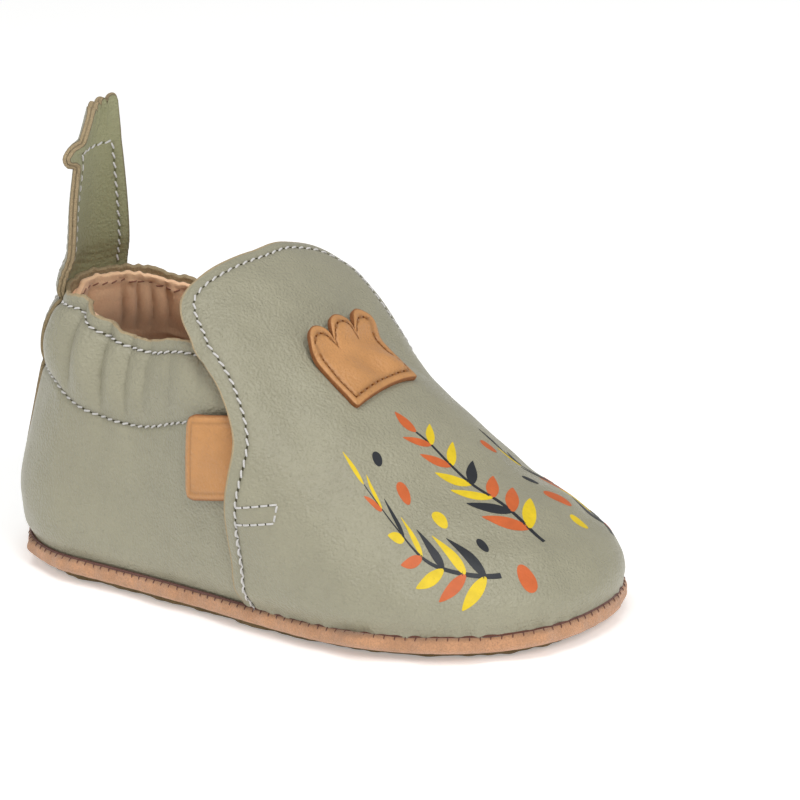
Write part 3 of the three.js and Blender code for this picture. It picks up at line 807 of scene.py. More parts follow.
@dataclass
class Seam:
    """Row of hand-like stitches along a line on a skin."""

    pitch: float = 2.05
    reach: float = 1.75
    thick: float = 0.2
    lift: float = 0.15
    slant: float = 17.0
    sunk: float = 0.3
    steps: int = 8
    sides: int = 6

    def bars(self, middles: Array, runs: Array, normals: Array) -> Solid:
        """Stitches as short arched tubes whose ends dive into the leather.

        Args:
            middles: Middle of each stitch on the surface.
            runs: Direction of each.
            normals: Surface normal at each.

        Returns:
            One solid of all the tubes: along t from -1 to 1 the height is lift - (lift + sunk) t^4
            and the radius thick (1 - 0.35 t^6), closed to a point at both ends.
        """
        side = unit(np.cross(normals, runs))
        angle = radians(self.slant)
        run = unit(np.cross(side, normals)) * cos(angle) + side * sin(angle)
        across = unit(np.cross(normals, run))
        t = np.linspace(-1.0, 1.0, self.steps + 1)
        t = np.concatenate([t[:1], t, t[-1:]])
        radius = self.thick * (1 - 0.35 * t**6)
        radius[0] = radius[-1] = 0.0
        height = self.lift - (self.lift + self.sunk) * t**4
        turn = 2 * pi * np.arange(self.sides + 1) / self.sides - pi / 2
        spine = (
            middles[:, None]
            + run[:, None] * (t * self.reach / 2)[None, :, None]
            + normals[:, None] * height[None, :, None]
        )
        around = (
            across[:, None, None] * np.cos(turn)[None, None, :, None]
            + normals[:, None, None] * np.sin(turn)[None, None, :, None] * 0.9
        )
        points = spine[:, :, None] + around * radius[None, :, None, None]
        count, rows, columns = points.shape[:3]
        index = np.arange(count * rows * columns).reshape(count, rows, columns)
        quads = np.stack(
            [index[:, :-1, :-1], index[:, :-1, 1:], index[:, 1:, 1:], index[:, 1:, :-1]], -1
        ).reshape(-1, 4)
        shape = points.shape[:3]
        values = {
            "run": np.broadcast_to((t / 2)[None, :, None], shape).ravel(),
            "turn": np.broadcast_to((turn / (2 * pi))[None, None, :], shape).ravel(),
        }
        return Solid(points.reshape(-1, 3), quads, values).outward()

    def places(self, line: Array, normals: Array, shift: float = 0.5) -> tuple[Array, Array, Array]:
        """Middles, directions and normals of stitches at even steps along a line."""
        length = lengths_along(line)
        count = max(1, round(length[-1] / self.pitch))
        at = (np.arange(count) + shift) * length[-1] / count
        middles = read_along(length, line, at)
        ahead = read_along(length, line, at + 0.3) - read_along(length, line, at - 0.3)
        return middles, unit(ahead), unit(read_along(length, normals, at))

    def sew(self, line: Array, normals: Array, shift: float = 0.5) -> Solid:
        """Stitches along a line of points with normals."""
        return self.bars(*self.places(line, normals, shift))

    def holes(self, line: Array, normals: Array) -> Solid:
        """Needle holes between the stitches, as shallow lenses in the surface, dark with painted shade."""
        middles, runs, out = self.places(line, normals, 0.0)
        pin = Seam(reach=0.8, thick=0.24, lift=0.0, sunk=0.12, slant=self.slant, steps=3, sides=6)
        return pin.flat(middles, runs, out)

    def flat(self, middles: Array, runs: Array, normals: Array) -> Solid:
        """Stitches pressed to a third of their thickness."""
        solid = self.bars(middles, runs, normals)
        per = len(solid.points) // len(middles)
        base, out = np.repeat(middles, per, axis=0), np.repeat(normals, per, axis=0)
        height = ((solid.points - base) * out).sum(1, keepdims=True)
        return Solid(solid.points - out * height * 0.82, solid.quads, solid.values)


@dataclass
class Sewing:
    """Collects rows of stitches, and makes one piece of each colour and place."""

    form_name: str
    thread: Finish
    slot: str
    hole_shade: Finish = HOLE_SHADE
    rows: list[Solid] = field(default_factory=list)
    pricks: list[Solid] = field(default_factory=list)

    def add(self, seam: Seam, line: Array, normals: Array, shift: float = 0.5) -> None:
        """Adds a row of stitches with its needle holes."""
        self.rows.append(seam.sew(line, normals, shift))
        self.pricks.append(seam.holes(line, normals))

    def make(self) -> None:
        """Puts the rows into the scene."""
        made = Solid.joined(self.rows).make(self.form_name, self.thread)
        ride(made, self.slot)
        if self.pricks:
            holes = Solid.joined(self.pricks)
            holes.values["dent"] = np.zeros(len(holes.points))
            ride(holes.make(self.form_name + "_holes", self.hole_shade), self.slot)


def ride(made: bpy.types.Object, slot: str, *nodes: str) -> None:
    """Ties a piece to the slipper's only body, and hides the CAD nodes that it stands for."""
    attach(made, "root")
    if nodes:
        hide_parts(*nodes)


# Quarter


@dataclass
class Quarter:
    """Wall round the heel: leather and lining, drawn up by elastic between two stitch lines."""

    form: FootForm
    leather: float = 0.9
    lining: float = 0.85
    rows: int = 110
    columns: int = 400
    collar_line: float = 2.4
    lining_line: float = 2.1
    # along, rise of the casing's stitch line above the seam
    casing: tuple = (
        (0, 34.3), (0.06, 34.6), (0.105, 34), (0.155, 32), (0.237, 30.2),
        (0.333, 30.2), (0.419, 33.4), (0.5, 36.3), (0.64, 38),
    )  # fmt: skip
    casing_bulge: float = 1.5
    pucker: float = 0.22
    strap_half: float = 10.2
    # where a gather starts on the walk round the heel, and how far it puffs out
    gathers: tuple = (
        (-90, 0.1), (-62, 0.4), (-54.3, 0.6), (-46.4, 0.9), (-41, 1.6), (-34.5, 2.3), (-25.5, 2.2),
        (-13, 0.5), (13, 2.0), (21.5, 1.6), (28, 2.0), (36.5, 1.5), (42, 0.9), (50, 0.6), (58, 0.3), (90, 0),
    )  # fmt: skip
    # the same for the pleats of the lining, which puff inwards
    pleats: tuple = (
        (-90, 0.2), (-52, 0.5), (-44, 0.7), (-37, 0.9), (-30, 1.0), (-24, 1.1), (-18, 1.0), (-12, 0.9),
        (-6, 1.1), (2, 1.2), (10.8, 1.0), (13.8, 0.9), (16.9, 1.0), (20.2, 1.1), (24.6, 1.2), (29.5, 1.1),
        (35, 0.9), (41, 0.8), (48, 0.6), (56, 0.4), (64, 0.2), (90, 0),
    )  # fmt: skip

    def __post_init__(self) -> None:
        """Works out the plain wall, its normals and its folds."""
        height = (np.arange(self.rows) / (self.rows - 1))[:, None]
        turn = np.linspace(-1.0, 1.0, self.columns)[None, :]
        self.height, self.turn = np.broadcast_arrays(height, turn)
        self.face = self.form.quarter(self.turn, self.height)
        self.along = self.form.quarter_front(self.height) * (1 - np.cos(pi / 2 * np.abs(self.turn)))
        away = self.face - np.array([10.0, 0.0, 20.0])
        out = grid_normals(self.face, away * [1, 1, 0])
        out[..., 2] *= ease(self.height / 0.06 + 0.15)
        self.out = unit(out)
        wall = self.form.wall(self.turn, self.along)
        self.drop = (1 - self.height) * wall
        self.low_line = wall - table_at(self.casing, 1, self.along)
        near_top = self.face[int(self.rows * 0.9)]
        walk = lengths_along(near_top)
        self.walk = np.tile(walk - walk[self.columns // 2], (len(self.height), 1))
        self.support = Skin(self.face + self.out * self.bulge()[..., None], self.out)
        self.support = Skin(self.support.points, grid_normals(self.support.points, self.out))
        self.skin = self.face_skin()

    def between(self) -> Array:
        """Share of the way from the collar's stitch line (0) to the casing's (1)."""
        return (self.drop - self.collar_line) / (self.low_line - self.collar_line)

    def bulge(self) -> Array:
        """Outward swell of the casing between its stitch lines, pinched at both."""
        share = self.between()
        swell = np.sin(pi * clamp(share)) ** 0.8
        size = self.casing_bulge * (1 - 0.4 * ease((self.along - 0.02) / 0.2))
        pinch = bell(self.drop - self.collar_line, 0.9) + 0.8 * bell(self.drop - self.low_line, 0.9)
        return size * swell - 0.32 * pinch * ease(self.drop / 1.5)

    def lobes(self, table: Sequence[Sequence[float]], power: float) -> tuple[Array, Array]:
        """Row of puffed lobes round the wall with creases between them.

        Args:
            table: Where each lobe starts on the walk, and its height; the last row ends it.
            power: Roundness: height times sin(pi t)^power, for t from 0 to 1 across a lobe.

        Returns:
            Height at each grid point, and the distance from the nearest crease.
        """
        rows = np.array(table, float)
        sway = 0.5 * np.sin(self.drop / 3.6 + self.walk / 9.0) + 0.04 * self.drop * np.sin(self.walk / 7.0)
        s = np.clip(self.walk + sway * ease(self.drop / 4.0), rows[0, 0], rows[-1, 0] - 1e-6)
        k = np.clip(np.searchsorted(rows[:, 0], s, side="right") - 1, 0, len(rows) - 2)
        low, high = rows[k, 0], rows[k + 1, 0]
        t = (s - low) / (high - low)
        return rows[k, 1] * np.sin(pi * clamp(t)) ** power, np.minimum(s - low, high - s)

    def reach(self) -> Array:
        """How far the gathers act: full by the collar's line, gone past the casing's."""
        share = self.between()
        down = 1 - ease((share - 0.45) / 0.75)
        rim = np.where(self.walk < 0, 0.5, 0.12)
        near = np.where(self.walk < 0, 0.8, 0.6)
        above = rim + (near - rim) * ease(1 + share * 1.6)
        return np.where(share < 0, above, near + (1 - near) * ease(share * 4)) * down

    def folds(self) -> Array:
        """Gathers of the leather, with fine puckers under the collar's line."""
        s, d = self.walk, self.drop
        height, _ = self.lobes(self.gathers, 0.8)
        size = np.abs(np.interp(s, [row[0] for row in self.gathers], [row[1] for row in self.gathers]))
        ridge = (height - 0.5 * size) * self.reach()
        in_reach = ease((self.strap_half + 2.0 - np.abs(self.face[..., 1])) / 2.5)
        under_strap = 1 - in_reach * (self.along < 0.25)
        front = 1 - ease((self.along - 0.46) / 0.08)
        fine = np.abs(np.sin(pi * (s / 2.05 + 0.3 * np.sin(s / 3.3)))) ** 0.7 - 0.65
        down = np.maximum(d - self.collar_line, 0.0)
        near = bell(down, 2.6) * (d >= self.collar_line) + 0.55 * bell(d - self.low_line, 2.2)
        fine = fine * near * (0.6 + 0.4 * np.sin(s / 2.9) * np.sin(s / 5.3 + 1)) * self.pucker
        return (ridge + fine) * under_strap * front

    def face_skin(self) -> Skin:
        """Leather's finished face: casing, gathers, stitch grooves and soft dents."""
        soft = 0.16 * waves(self.face, 26.0, 3) + 0.06 * waves(self.face, 9.0, 4)
        soft = soft * ease(self.drop / 8.0) * ease(self.height / 0.12)
        radiating = 0.14 * np.sin(self.walk / 1.35 + 1.5 * np.sin(self.walk / 6.0))
        under_vamp = ease((self.along - 0.46) / 0.08)
        radiating = radiating * bell(self.drop - self.low_line - 2.5, 3.0) * (1 - under_vamp)
        fold = self.folds()
        groove = 0.18 * (bell(self.drop - self.collar_line, 0.55) + bell(self.drop - self.low_line, 0.55))
        foot = 0.55 * (1 - ease(self.height / 0.06))
        self.move = self.bulge() + fold + soft + radiating - groove - foot
        points = self.face + self.out * self.move[..., None]
        points[..., 2] += self.rim_wave() - 0.35 * (1 - ease(self.height / 0.03))
        return Skin(points, grid_normals(points, self.out))

    def rim_wave(self) -> Array:
        """Uneven height of the raw collar edge."""
        s = self.walk
        wave = 0.3 * np.sin(s / 2.1 + 1.3 * np.sin(s / 5.0)) + 0.25 * np.sin(s / 6.7)
        wave = wave * np.where(s < 0, 1.0, 0.45) + 0.09 * waves(self.face, 1.7, 5)
        return wave * ease(1 - self.drop / (self.collar_line + 0.6)) * (np.abs(self.face[..., 1]) > 2)

    def shared(self, turn: Array, height: Array) -> tuple[Array, Array]:
        """Fractional row and column of a turn and height share."""
        return height * (self.rows - 1), (turn + 1) / 2 * (self.columns - 1)

    def turn_at(self, height: Array, y: Array) -> Array:
        """Turn round the heel at which the wall has a side-to-side place."""
        side = np.where(y < 0, OUTER, INNER)
        turn = solve(lambda t: np.abs(self.form.quarter(side * t, height)[..., 1]), np.abs(y))
        return side * turn

    def line_at(self, skin: Skin, drop: Array) -> tuple[Array, Array]:
        """Line on a skin at a distance below the edge."""
        return skin.at(crossing(self.drop - drop), np.arange(self.columns, dtype=float))

    def build(self) -> None:
        """Makes leather, lining and the two stitch lines."""
        skin = self.skin
        back = skin.points - skin.normals * self.leather
        solid = shell(skin.points, back, rim=5, fullness=0.35, wear=0.8)
        # Painted shade in the stitch grooves, and in the gathers' creases under the collar's line.
        dent = 0.9 * (bell(self.drop - self.collar_line, 0.5) + bell(self.drop - self.low_line, 0.5))
        _, crease = self.lobes(self.gathers, 1.0)
        under_seam = bell(self.drop - self.collar_line - 2.0, 2.4) * (self.along < 0.5)
        dent = dent + 0.35 * bell(crease, 0.45) * under_seam
        solid.values["dent"] = np.concatenate([dent.ravel(), np.zeros(len(solid.points) - dent.size)])
        ride(solid.make("quarter_leather", SAGE), "leather", "upper")

        height, crease = self.lobes(self.pleats, 0.7)
        above = ease(1 - self.drop / self.collar_line)
        puff = height * (self.reach() * (1 - 0.75 * above)) - 0.25 * bell(self.drop - self.lining_line, 0.6)
        hidden = np.minimum(self.bulge() * 0.35, self.move) - self.leather - 0.1
        front = self.face + self.out * hidden[..., None]
        inner = front - self.out * (self.lining + puff + 0.15 * above)[..., None]
        near = ease((-1.0 - self.walk) / 6.0)
        lower = self.rim_wave() - (1.0 + 1.8 * near) * above
        front[..., 2] += lower
        inner[..., 2] += lower
        foot = 0.6 * (1 - ease(self.height / 0.05))
        front[..., 2] -= foot
        inner[..., 2] -= foot
        stride = np.unique(np.linspace(0, self.columns - 1, 360).astype(int))
        rows = np.unique(np.linspace(0, self.rows - 1, 90).astype(int))
        pick = np.ix_(rows, stride)
        lining = shell(inner[pick], front[pick], rim=5, fullness=0.8)
        # Painted shade: darker in the pleats' creases, towards the bottom of the wall inside, and at the
        # lining's stitch line.
        dent = 0.55 * bell(crease, 0.6) * self.reach() * (self.drop > self.collar_line)
        dent = dent + 1.3 * ease((self.drop - 4.5) / 9.0)
        dent = (dent + 0.5 * bell(self.drop - self.lining_line, 0.5))[pick]
        lining.values["dent"] = np.concatenate([dent.ravel(), np.zeros(len(lining.points) - dent.size)])
        ride(lining.make("quarter_lining", LINING), "suede", "upper")

        self.inside = Skin(inner, -grid_normals(inner, self.out))
        sewing = Sewing("collar_stitches", WHITE_THREAD, "leather")
        seam = Seam()
        for drop in (self.collar_line, self.low_line):
            line, normals = self.line_at(self.skin, drop)
            clear = np.abs(line[:, 1]) > 9.6
            split = self.columns // 2
            for part in (slice(0, split), slice(split, None)):
                keep = clear[part] | (self.along[0][part] > 0.2)
                sewing.add(seam, line[part][keep], normals[part][keep])
        sewing.make()
        hidden = Sewing("lining_stitches", LINING_THREAD, "suede")
        hidden.rows.append(Seam(lift=0.0, thick=0.17).sew(*self.line_at(self.inside, self.lining_line)))
        hidden.make()


# Vamp


@dataclass
class Vamp:
    """Front of the upper, with the free flap over the instep."""

    form: FootForm
    wall: float = 1.5
    leather: float = 0.95
    lining: float = 0.8
    flare: float = 3.0
    free_rise: float = 8.0
    free_span: float = 16.0
    draw: float = 1.35
    draw_rise: float = 5.0
    stitch_inset: float = 2.9
    rows: int = 190
    columns: int = 221

    def __post_init__(self) -> None:
        """Works out the finished face and the lines that lie on it."""
        steps = np.linspace(0.0, 1.0, 2000) ** 3
        ridge = self.form.arch(1 - (1 - self.form.edge_at(np.array(0.0))) * steps, np.array(1e-9))
        self.reaches, self.arcs = steps, lengths_along(ridge)
        share = (np.arange(self.rows) / (self.rows - 1))[:, None]
        turn = np.linspace(-1.0, 1.0, self.columns)[None, :]
        share, self.turn = np.broadcast_arrays(share, turn)
        self.reach = np.interp(share * self.arcs[-1], self.arcs, self.reaches)
        self.along = 1 - (1 - self.form.edge_at(self.turn)) * self.reach
        self.face = self.form.arch(self.along, self.turn)
        self.rise = self.face[..., 2] - self.form.seam_z
        self.middle = self.moved_middle()
        self.edge_line = (self.middle + self.out * self.wall)[-1]
        self.from_edge = self.edge_distance()
        self.skin = self.face_skin()

    def settle(self, normal: Array) -> Array:
        """Normals that lie level at the seam and point forward at the toe's tip."""
        normal = normal.copy()
        normal[..., 2] *= ease(self.rise / 3.0 + 0.2)
        tip = (1 - ease(self.reach / 0.0006))[..., None]
        return unit(normal * (1 - tip) + np.array([1.0, 0.0, 0.0]) * tip)

    def moved_middle(self) -> Array:
        """Form with the flap's flare and the draw of the sole seam."""
        away = self.face - np.array([20.0, 2.0, 0.0])
        out = self.settle(grid_normals(self.face, away))
        free = ease((self.reach - 0.7) / 0.3) * ease((self.rise - self.free_rise) / self.free_span)
        drawn = self.draw * (1 - ease(self.rise / self.draw_rise))
        middle = self.face + out * (self.flare * free - drawn)[..., None]
        middle[0] = middle[0, self.columns // 2]
        self.out = self.settle(grid_normals(middle, away))
        return middle

    def edge_distance(self) -> Array:
        """Distance of each point of the face from the rear edge, 99 in the front half."""
        found = np.full(self.reach.shape, 99.0)
        late = self.rows * 2 // 3
        outer = self.middle + self.out * self.wall
        found[late:] = line_distance(outer[late:], self.edge_line)
        return found

    def face_skin(self) -> Skin:
        """Finished face: soft dents, toe creases, flap creases, and the groove of the edge stitches."""
        base = self.middle + self.out * self.wall
        low = ease(self.rise / 6.0)
        dents = (0.17 * waves(base, 24.0, 11) + 0.07 * waves(base, 8.0, 12)) * low
        x, y, z = base[..., 0], base[..., 1], base[..., 2]
        toe = bell(x - 52.0, 10.0) * bell(z - 16.0, 9.0)
        creases = 0.3 * np.sin(2 * pi * (z + 0.12 * y + 0.9 * np.sin(y / 9.0)) / 7.5 + 0.6) * toe
        flap = bell(x + 2.0, 12.0) * bell(y + 12.0, 14.0)
        creases = creases + 0.17 * np.sin(2 * pi * (z + 0.45 * x + 1.2 * np.sin(y / 6.0)) / 6.5) * flap
        ripple = np.sin(2 * pi * lengths_along(base[:, 2])[:, None] / 4.0)
        pucker = 0.16 * ripple * (1 - ease(self.rise / 5.0))
        pucker = pucker * np.sin(x / 3.1) * ease(self.reach / 0.02)
        groove = 0.2 * bell(self.from_edge - self.stitch_inset, 0.6)
        rim = 0.25 * ease(1 - self.from_edge / self.stitch_inset)
        points = base + self.out * (dents + creases + pucker - groove - rim)[..., None]
        points[..., 2] -= 0.5 * (1 - ease(self.rise / 1.6))
        points[0] = points[0, self.columns // 2]
        normals = grid_normals(points, self.out)
        normals[0] = (1.0, 0.0, 0.0)
        return Skin(points, normals)

    def shared(self, along: Array, turn: Array) -> tuple[Array, Array]:
        """Fractional row and column of a station and a turn over the arch."""
        reach = clamp((1 - along) / (1 - self.form.edge_at(turn)))
        row = np.interp(reach, self.reaches, self.arcs) / self.arcs[-1] * (self.rows - 1)
        return row, (turn + 1) / 2 * (self.columns - 1)

    def at_place(self, along: Array, y: Array) -> tuple[Array, Array]:
        """Fractional row and column of a station and a side-to-side place."""
        aside = y - self.form.swing(along)
        side = np.where(aside < 0, OUTER, INNER)
        centre = self.form.swing(along)
        turn = solve(lambda t: np.abs(self.form.arch(along, side * t)[..., 1] - centre), np.abs(aside))
        return self.shared(along, side * turn)

    def at_rise(self, along: Array, rise: Array, side: float) -> tuple[Array, Array]:
        """Fractional row and column of a station and a height above the seam."""
        share = clamp(rise / self.form.ridge_rise(along))
        return self.shared(along, side * 2 / pi * np.arccos(share))

    def on_chart(self, ahead: Array, aside: Array) -> tuple[Array, Array]:
        """Fractional row and column of a place on the flattened face.

        Args:
            ahead: Distance along the ridge from the toe.
            aside: Distance round the arch from the ridge, negative on the outer side.

        Returns:
            Rows and columns.
        """
        points, middle = self.skin.points, self.columns // 2
        ridge = lengths_along(points[:, middle])
        row = np.interp(ahead, ridge, np.arange(self.rows))
        steps = np.linalg.norm(np.diff(points, axis=1), axis=-1)
        arc = np.pad(np.cumsum(steps, axis=1), ((0, 0), (1, 0)))
        arc -= arc[:, middle : middle + 1]
        i = np.minimum(row.astype(int), self.rows - 2)
        share = (row - i)[..., None]
        arcs = arc[i] * (1 - share) + arc[i + 1] * share
        k = np.clip((arcs < aside[..., None]).sum(-1) - 1, 0, self.columns - 2)
        low = np.take_along_axis(arcs, k[..., None], -1)[..., 0]
        high = np.take_along_axis(arcs, k[..., None] + 1, -1)[..., 0]
        return row, k + clamp((aside - low) / np.maximum(high - low, TINY))

    def inset_line(self, inset: float) -> tuple[Array, Array]:
        """Line on the skin that keeps a distance from the rear edge."""
        return self.skin.at(crossing(self.from_edge - inset), np.arange(self.columns, dtype=float))

    def build(self) -> None:
        """Makes leather, lining and stitches."""
        skin = self.skin
        back = skin.points - skin.normals * self.leather
        back[0] = back[0, self.columns // 2]
        solid = shell(skin.points, back, rim=5, fullness=0.35, pole=True, wear=0.8)
        # Painted shade in the groove of the edge stitches.
        dent = 0.9 * bell(self.from_edge - self.stitch_inset, 0.5)
        solid.values["dent"] = np.concatenate([dent.ravel(), np.zeros(len(solid.points) - dent.size)])
        ride(solid.make("vamp_leather", SAGE), "leather", "upper")

        plain = self.middle + self.out * self.wall
        front = plain - self.out * (self.leather + 0.12)
        inner = plain - self.out * (self.leather + 0.12 + self.lining)
        for grid in (front, inner):
            edge = ease(1 - self.from_edge / 4.0)[..., None]
            grid += unit(self.middle[-6] - self.middle[-1])[None] * 0.25 * edge
            grid[0] = grid[0, self.columns // 2]
        rows = np.unique(np.linspace(0, self.rows - 1, 90).astype(int))
        columns = np.unique(np.linspace(0, self.columns - 1, 111).astype(int))
        pick = np.ix_(rows, columns)
        lining = shell(inner[pick], front[pick], rim=5, fullness=0.8, pole=True)
        lining.values["dent"] = np.zeros(len(lining.points))
        ride(lining.make("vamp_lining", LINING), "suede", "upper")

        sewing = Sewing("vamp_stitches", WHITE_THREAD, "leather")
        seam = Seam()
        line, normals = self.inset_line(self.stitch_inset)
        sewing.add(seam, line, normals)
        low = line[:, 2] < self.form.seam_z + 19
        for part in (low & (line[:, 1] < 0), low & (line[:, 1] > 0)):
            raised = line[part] + normals[part] * 0.1
            sewing.rows.append(Seam(slant=-10.0, lift=0.32).sew(raised, normals[part], 0.0))
        for side in (OUTER, INNER):
            for fall in (0.0, 3.1):
                along = np.linspace(0.562, 0.622, 12)
                rise = np.linspace(21.3, 22.2, 12) - fall
                sewing.add(Seam(slant=0.0, pitch=1.9), *skin.at(*self.at_rise(along, rise, side)))
            end = skin.at(*self.at_rise(np.full(6, 0.622), np.linspace(22.2, 19.1, 6), side))
            sewing.rows.append(Seam(slant=0.0, pitch=1.6, reach=1.5).sew(*end))
        sewing.make()


# Heel strip and pull tab


@dataclass
class HeelStrap:
    """Leather strip up the heel that runs on as the pull tab, with the tab's facing."""

    quarter: Quarter
    thick: float = 1.0
    foot_width: float = 21.0
    collar_width: float = 19.5
    tab_rise: float = 27.0
    wrist_width: float = 13.5
    lean_rise: float = 18.0
    flatness: float = 0.5
    hand_rise: float = 9.5
    hand_slope: float = 2.0
    hand_width: float = 7.0
    lobes: int = 4
    lobe_depth: float = 1.5
    nub_reach: float = 3.3
    nub_width: float = 4.2
    inset: float = 1.7
    across_steps: int = 57

    def half(self, rise: Array) -> Array:
        """Half width at a rise from the collar, negative below it."""
        collar, wrist = self.collar_width / 2, self.wrist_width / 2
        strip = collar + (self.foot_width / 2 - collar) * -rise / self.quarter.form.collar_rise
        tab = collar + (wrist - collar) * rise / self.tab_rise
        hand = wrist + (self.hand_width / 2 - wrist) * (rise - self.tab_rise) / self.hand_rise
        return np.where(rise < 0, strip, np.where(rise < self.tab_rise, tab, hand))

    def tab(self, rise: Array, across: Array) -> Array:
        """Middle sheet of the tab: the heel's slope dies out with height, and its roundness halves."""
        form, quarter = self.quarter.form, self.quarter
        one = np.ones_like(across)
        middle = form.quarter(np.array(-1e-3), np.array(1.0))
        below = form.quarter(np.array(-1e-3), np.array(0.98))
        foot_y = across * self.collar_width / 2
        foot = form.quarter(quarter.turn_at(one, foot_y), one)
        slope = (middle[0] - below[0]) / (middle[2] - below[2])
        lean = slope * self.lean_rise * (1 - np.exp(-rise / self.lean_rise))
        rounded = (foot[..., 0] - middle[0]) * (1 - self.flatness * rise / (self.tab_rise + self.hand_rise))
        turn = (rise - self.tab_rise) / (self.nub_width / 2)
        nub = self.nub_reach * np.sqrt(np.maximum(0.0, 1 - turn**2)) * ease((-across - 0.72) / 0.28)
        half = self.half(rise)
        shift = np.where(rise > self.tab_rise, self.wrist_width / 2 - half, 0.0)
        return np.stack([middle[0] + lean + rounded, shift + across * half - nub, middle[2] + rise], -1)

    def grid(self, rises: Array, hand_rows: int) -> tuple[Array, Array]:
        """Rises and shares across of the tab's rows, whose last rows follow the lobes."""
        across = np.linspace(-1.0, 1.0, self.across_steps)
        fall = self.hand_slope * (1 - across) / 2 + self.lobe_depth * scallop(across, self.lobes)
        top = self.tab_rise + self.hand_rise - fall
        share = (np.arange(1, hand_rows + 1) / hand_rows)[:, None]
        hand = rises[-1] + (top[None] - rises[-1]) * share
        rows = np.concatenate([np.repeat(rises[:, None], len(across), 1), hand])
        return rows, np.broadcast_to(across, rows.shape)

    def crumple(self, rise: Array, across: Array, points: Array) -> Array:
        """Small bends and finger grooves of the tab, as an outward move."""
        soft = 0.25 * waves(points, 16.0, 21) * ease(rise / 6.0)
        bends = 0.12 * np.sin(2 * pi * (rise + 0.8 * np.sin(across * 4)) / 1.7) * bell(rise - 3.2, 2.4)
        fingers = sum(bell(across - notch, 0.075) for notch in (-0.5, 0.0, 0.5))
        fingers = 0.32 * fingers * ease((rise - self.tab_rise - 2.2) / 2.0)
        return soft + bends - fingers

    def edge_lines(self, rise: Array) -> list[Array]:
        """Shares across of the two edge seams at each rise."""
        share = 1 - self.inset / self.half(rise)
        return [-share, share]

    def build(self) -> None:
        """Makes strip, facing and all their stitches."""
        quarter = self.quarter
        strip_rows, tab_steps = 118, 64
        height = (np.arange(strip_rows) / strip_rows)[:, None]
        across = np.linspace(-1.0, 1.0, self.across_steps)[None]
        height, across = np.broadcast_arrays(height, across)
        rise = (height - 1) * quarter.form.collar_rise
        turn = quarter.turn_at(height, across * self.half(rise))
        strip, _ = quarter.support.at(*quarter.shared(turn, height))
        rises = np.linspace(0.0, self.tab_rise + self.nub_width / 2, tab_steps)
        tab_rise, tab_across = self.grid(rises, 20)
        tab = self.tab(tab_rise, tab_across)
        rise, across = np.concatenate([rise, tab_rise]), np.concatenate([across, tab_across])
        base = np.concatenate([strip, tab])
        out = grid_normals(base, base - [20.0, 0.0, 40.0])
        out[..., 2] *= ease((rise + quarter.form.collar_rise) / 3.0 + 0.2)
        out = unit(out)
        edge = np.abs(across) * self.half(rise)
        from_side = self.half(rise) - edge
        seam = 0.25 * bell(from_side - self.inset, 0.55) * (rise < self.tab_rise)
        curl = -0.25 * ease(1 - from_side / 1.6)
        shift = 0.95 * ease((rise + 3.0) / 3.0) * (1 - ease((rise - 1.0) / 6.0))
        soft = 0.1 * waves(base, 22.0, 23) * ease(-rise / 4)
        wave = np.where(rise > 0, self.crumple(rise, across, base), soft)
        low = 0.06 + shift + wave
        face = base + out * (low + self.thick - seam + curl)[..., None]
        back = base + out * low[..., None]
        foot = 0.9 * (1 - ease((rise + quarter.form.collar_rise) / 4.0))
        face -= out * foot[..., None]
        back -= out * (foot * 0.8)[..., None]
        face[..., 2] -= 0.4 * (1 - ease((rise + quarter.form.collar_rise) / 2.0))
        solid = shell(face, back, rim=5, fullness=0.3, wear=0.3)
        # Painted shade in the grooves of the edge stitches.
        dent = 0.8 * bell(from_side - self.inset, 0.45) * (rise < self.tab_rise)
        solid.values["dent"] = np.concatenate([dent.ravel(), np.zeros(len(solid.points) - dent.size)])
        ride(solid.make("strap_leather", STRAP), "leather", "heel_strip")
        self.skin = Skin(face, grid_normals(face, out))
        self.row_rises = rise[:, self.across_steps // 2]

        tab_part = slice(strip_rows - 6, None)
        t_rise, t_across, t_base, t_out = (grid[tab_part] for grid in (rise, across, base, out))
        keep = t_rise[:, 0] >= -2.6
        t_rise, t_across, t_base, t_out = (grid[keep] for grid in (t_rise, t_across, t_base, t_out))
        t_low = (0.02 + shift + wave)[tab_part][keep]
        t_side = from_side[tab_part][keep]
        hide = t_base + t_out * t_low[..., None]
        dip = 0.12 * bell(t_side - self.inset, 0.5) * (t_rise < self.tab_rise)
        show = t_base + t_out * (t_low - self.thick + dip + 0.2 * ease(1 - t_side / 1.4))[..., None]
        facing = shell(show, hide, rim=5, fullness=0.3, wear=0.3)
        # Painted shade in the grooves of the edge stitches.
        dent = 0.8 * bell(t_side - self.inset, 0.45) * (t_rise < self.tab_rise)
        facing.values["dent"] = np.concatenate([dent.ravel(), np.zeros(len(facing.points) - dent.size)])
        ride(facing.make("facing_leather", OLIVE), "leather", "tab_facing")
        self.inside = Skin(show, -grid_normals(show, t_out))
        self.inside_rises = t_rise[:, self.across_steps // 2]
        self.sew()

    def line(self, skin: Skin, rows: Array, rise: Array, across: Array) -> tuple[Array, Array]:
        """Line on the strap or the facing through rises and shares across."""
        row = np.interp(rise, rows, np.arange(len(rows)))
        return skin.at(row, (across + 1) / 2 * (self.across_steps - 1))

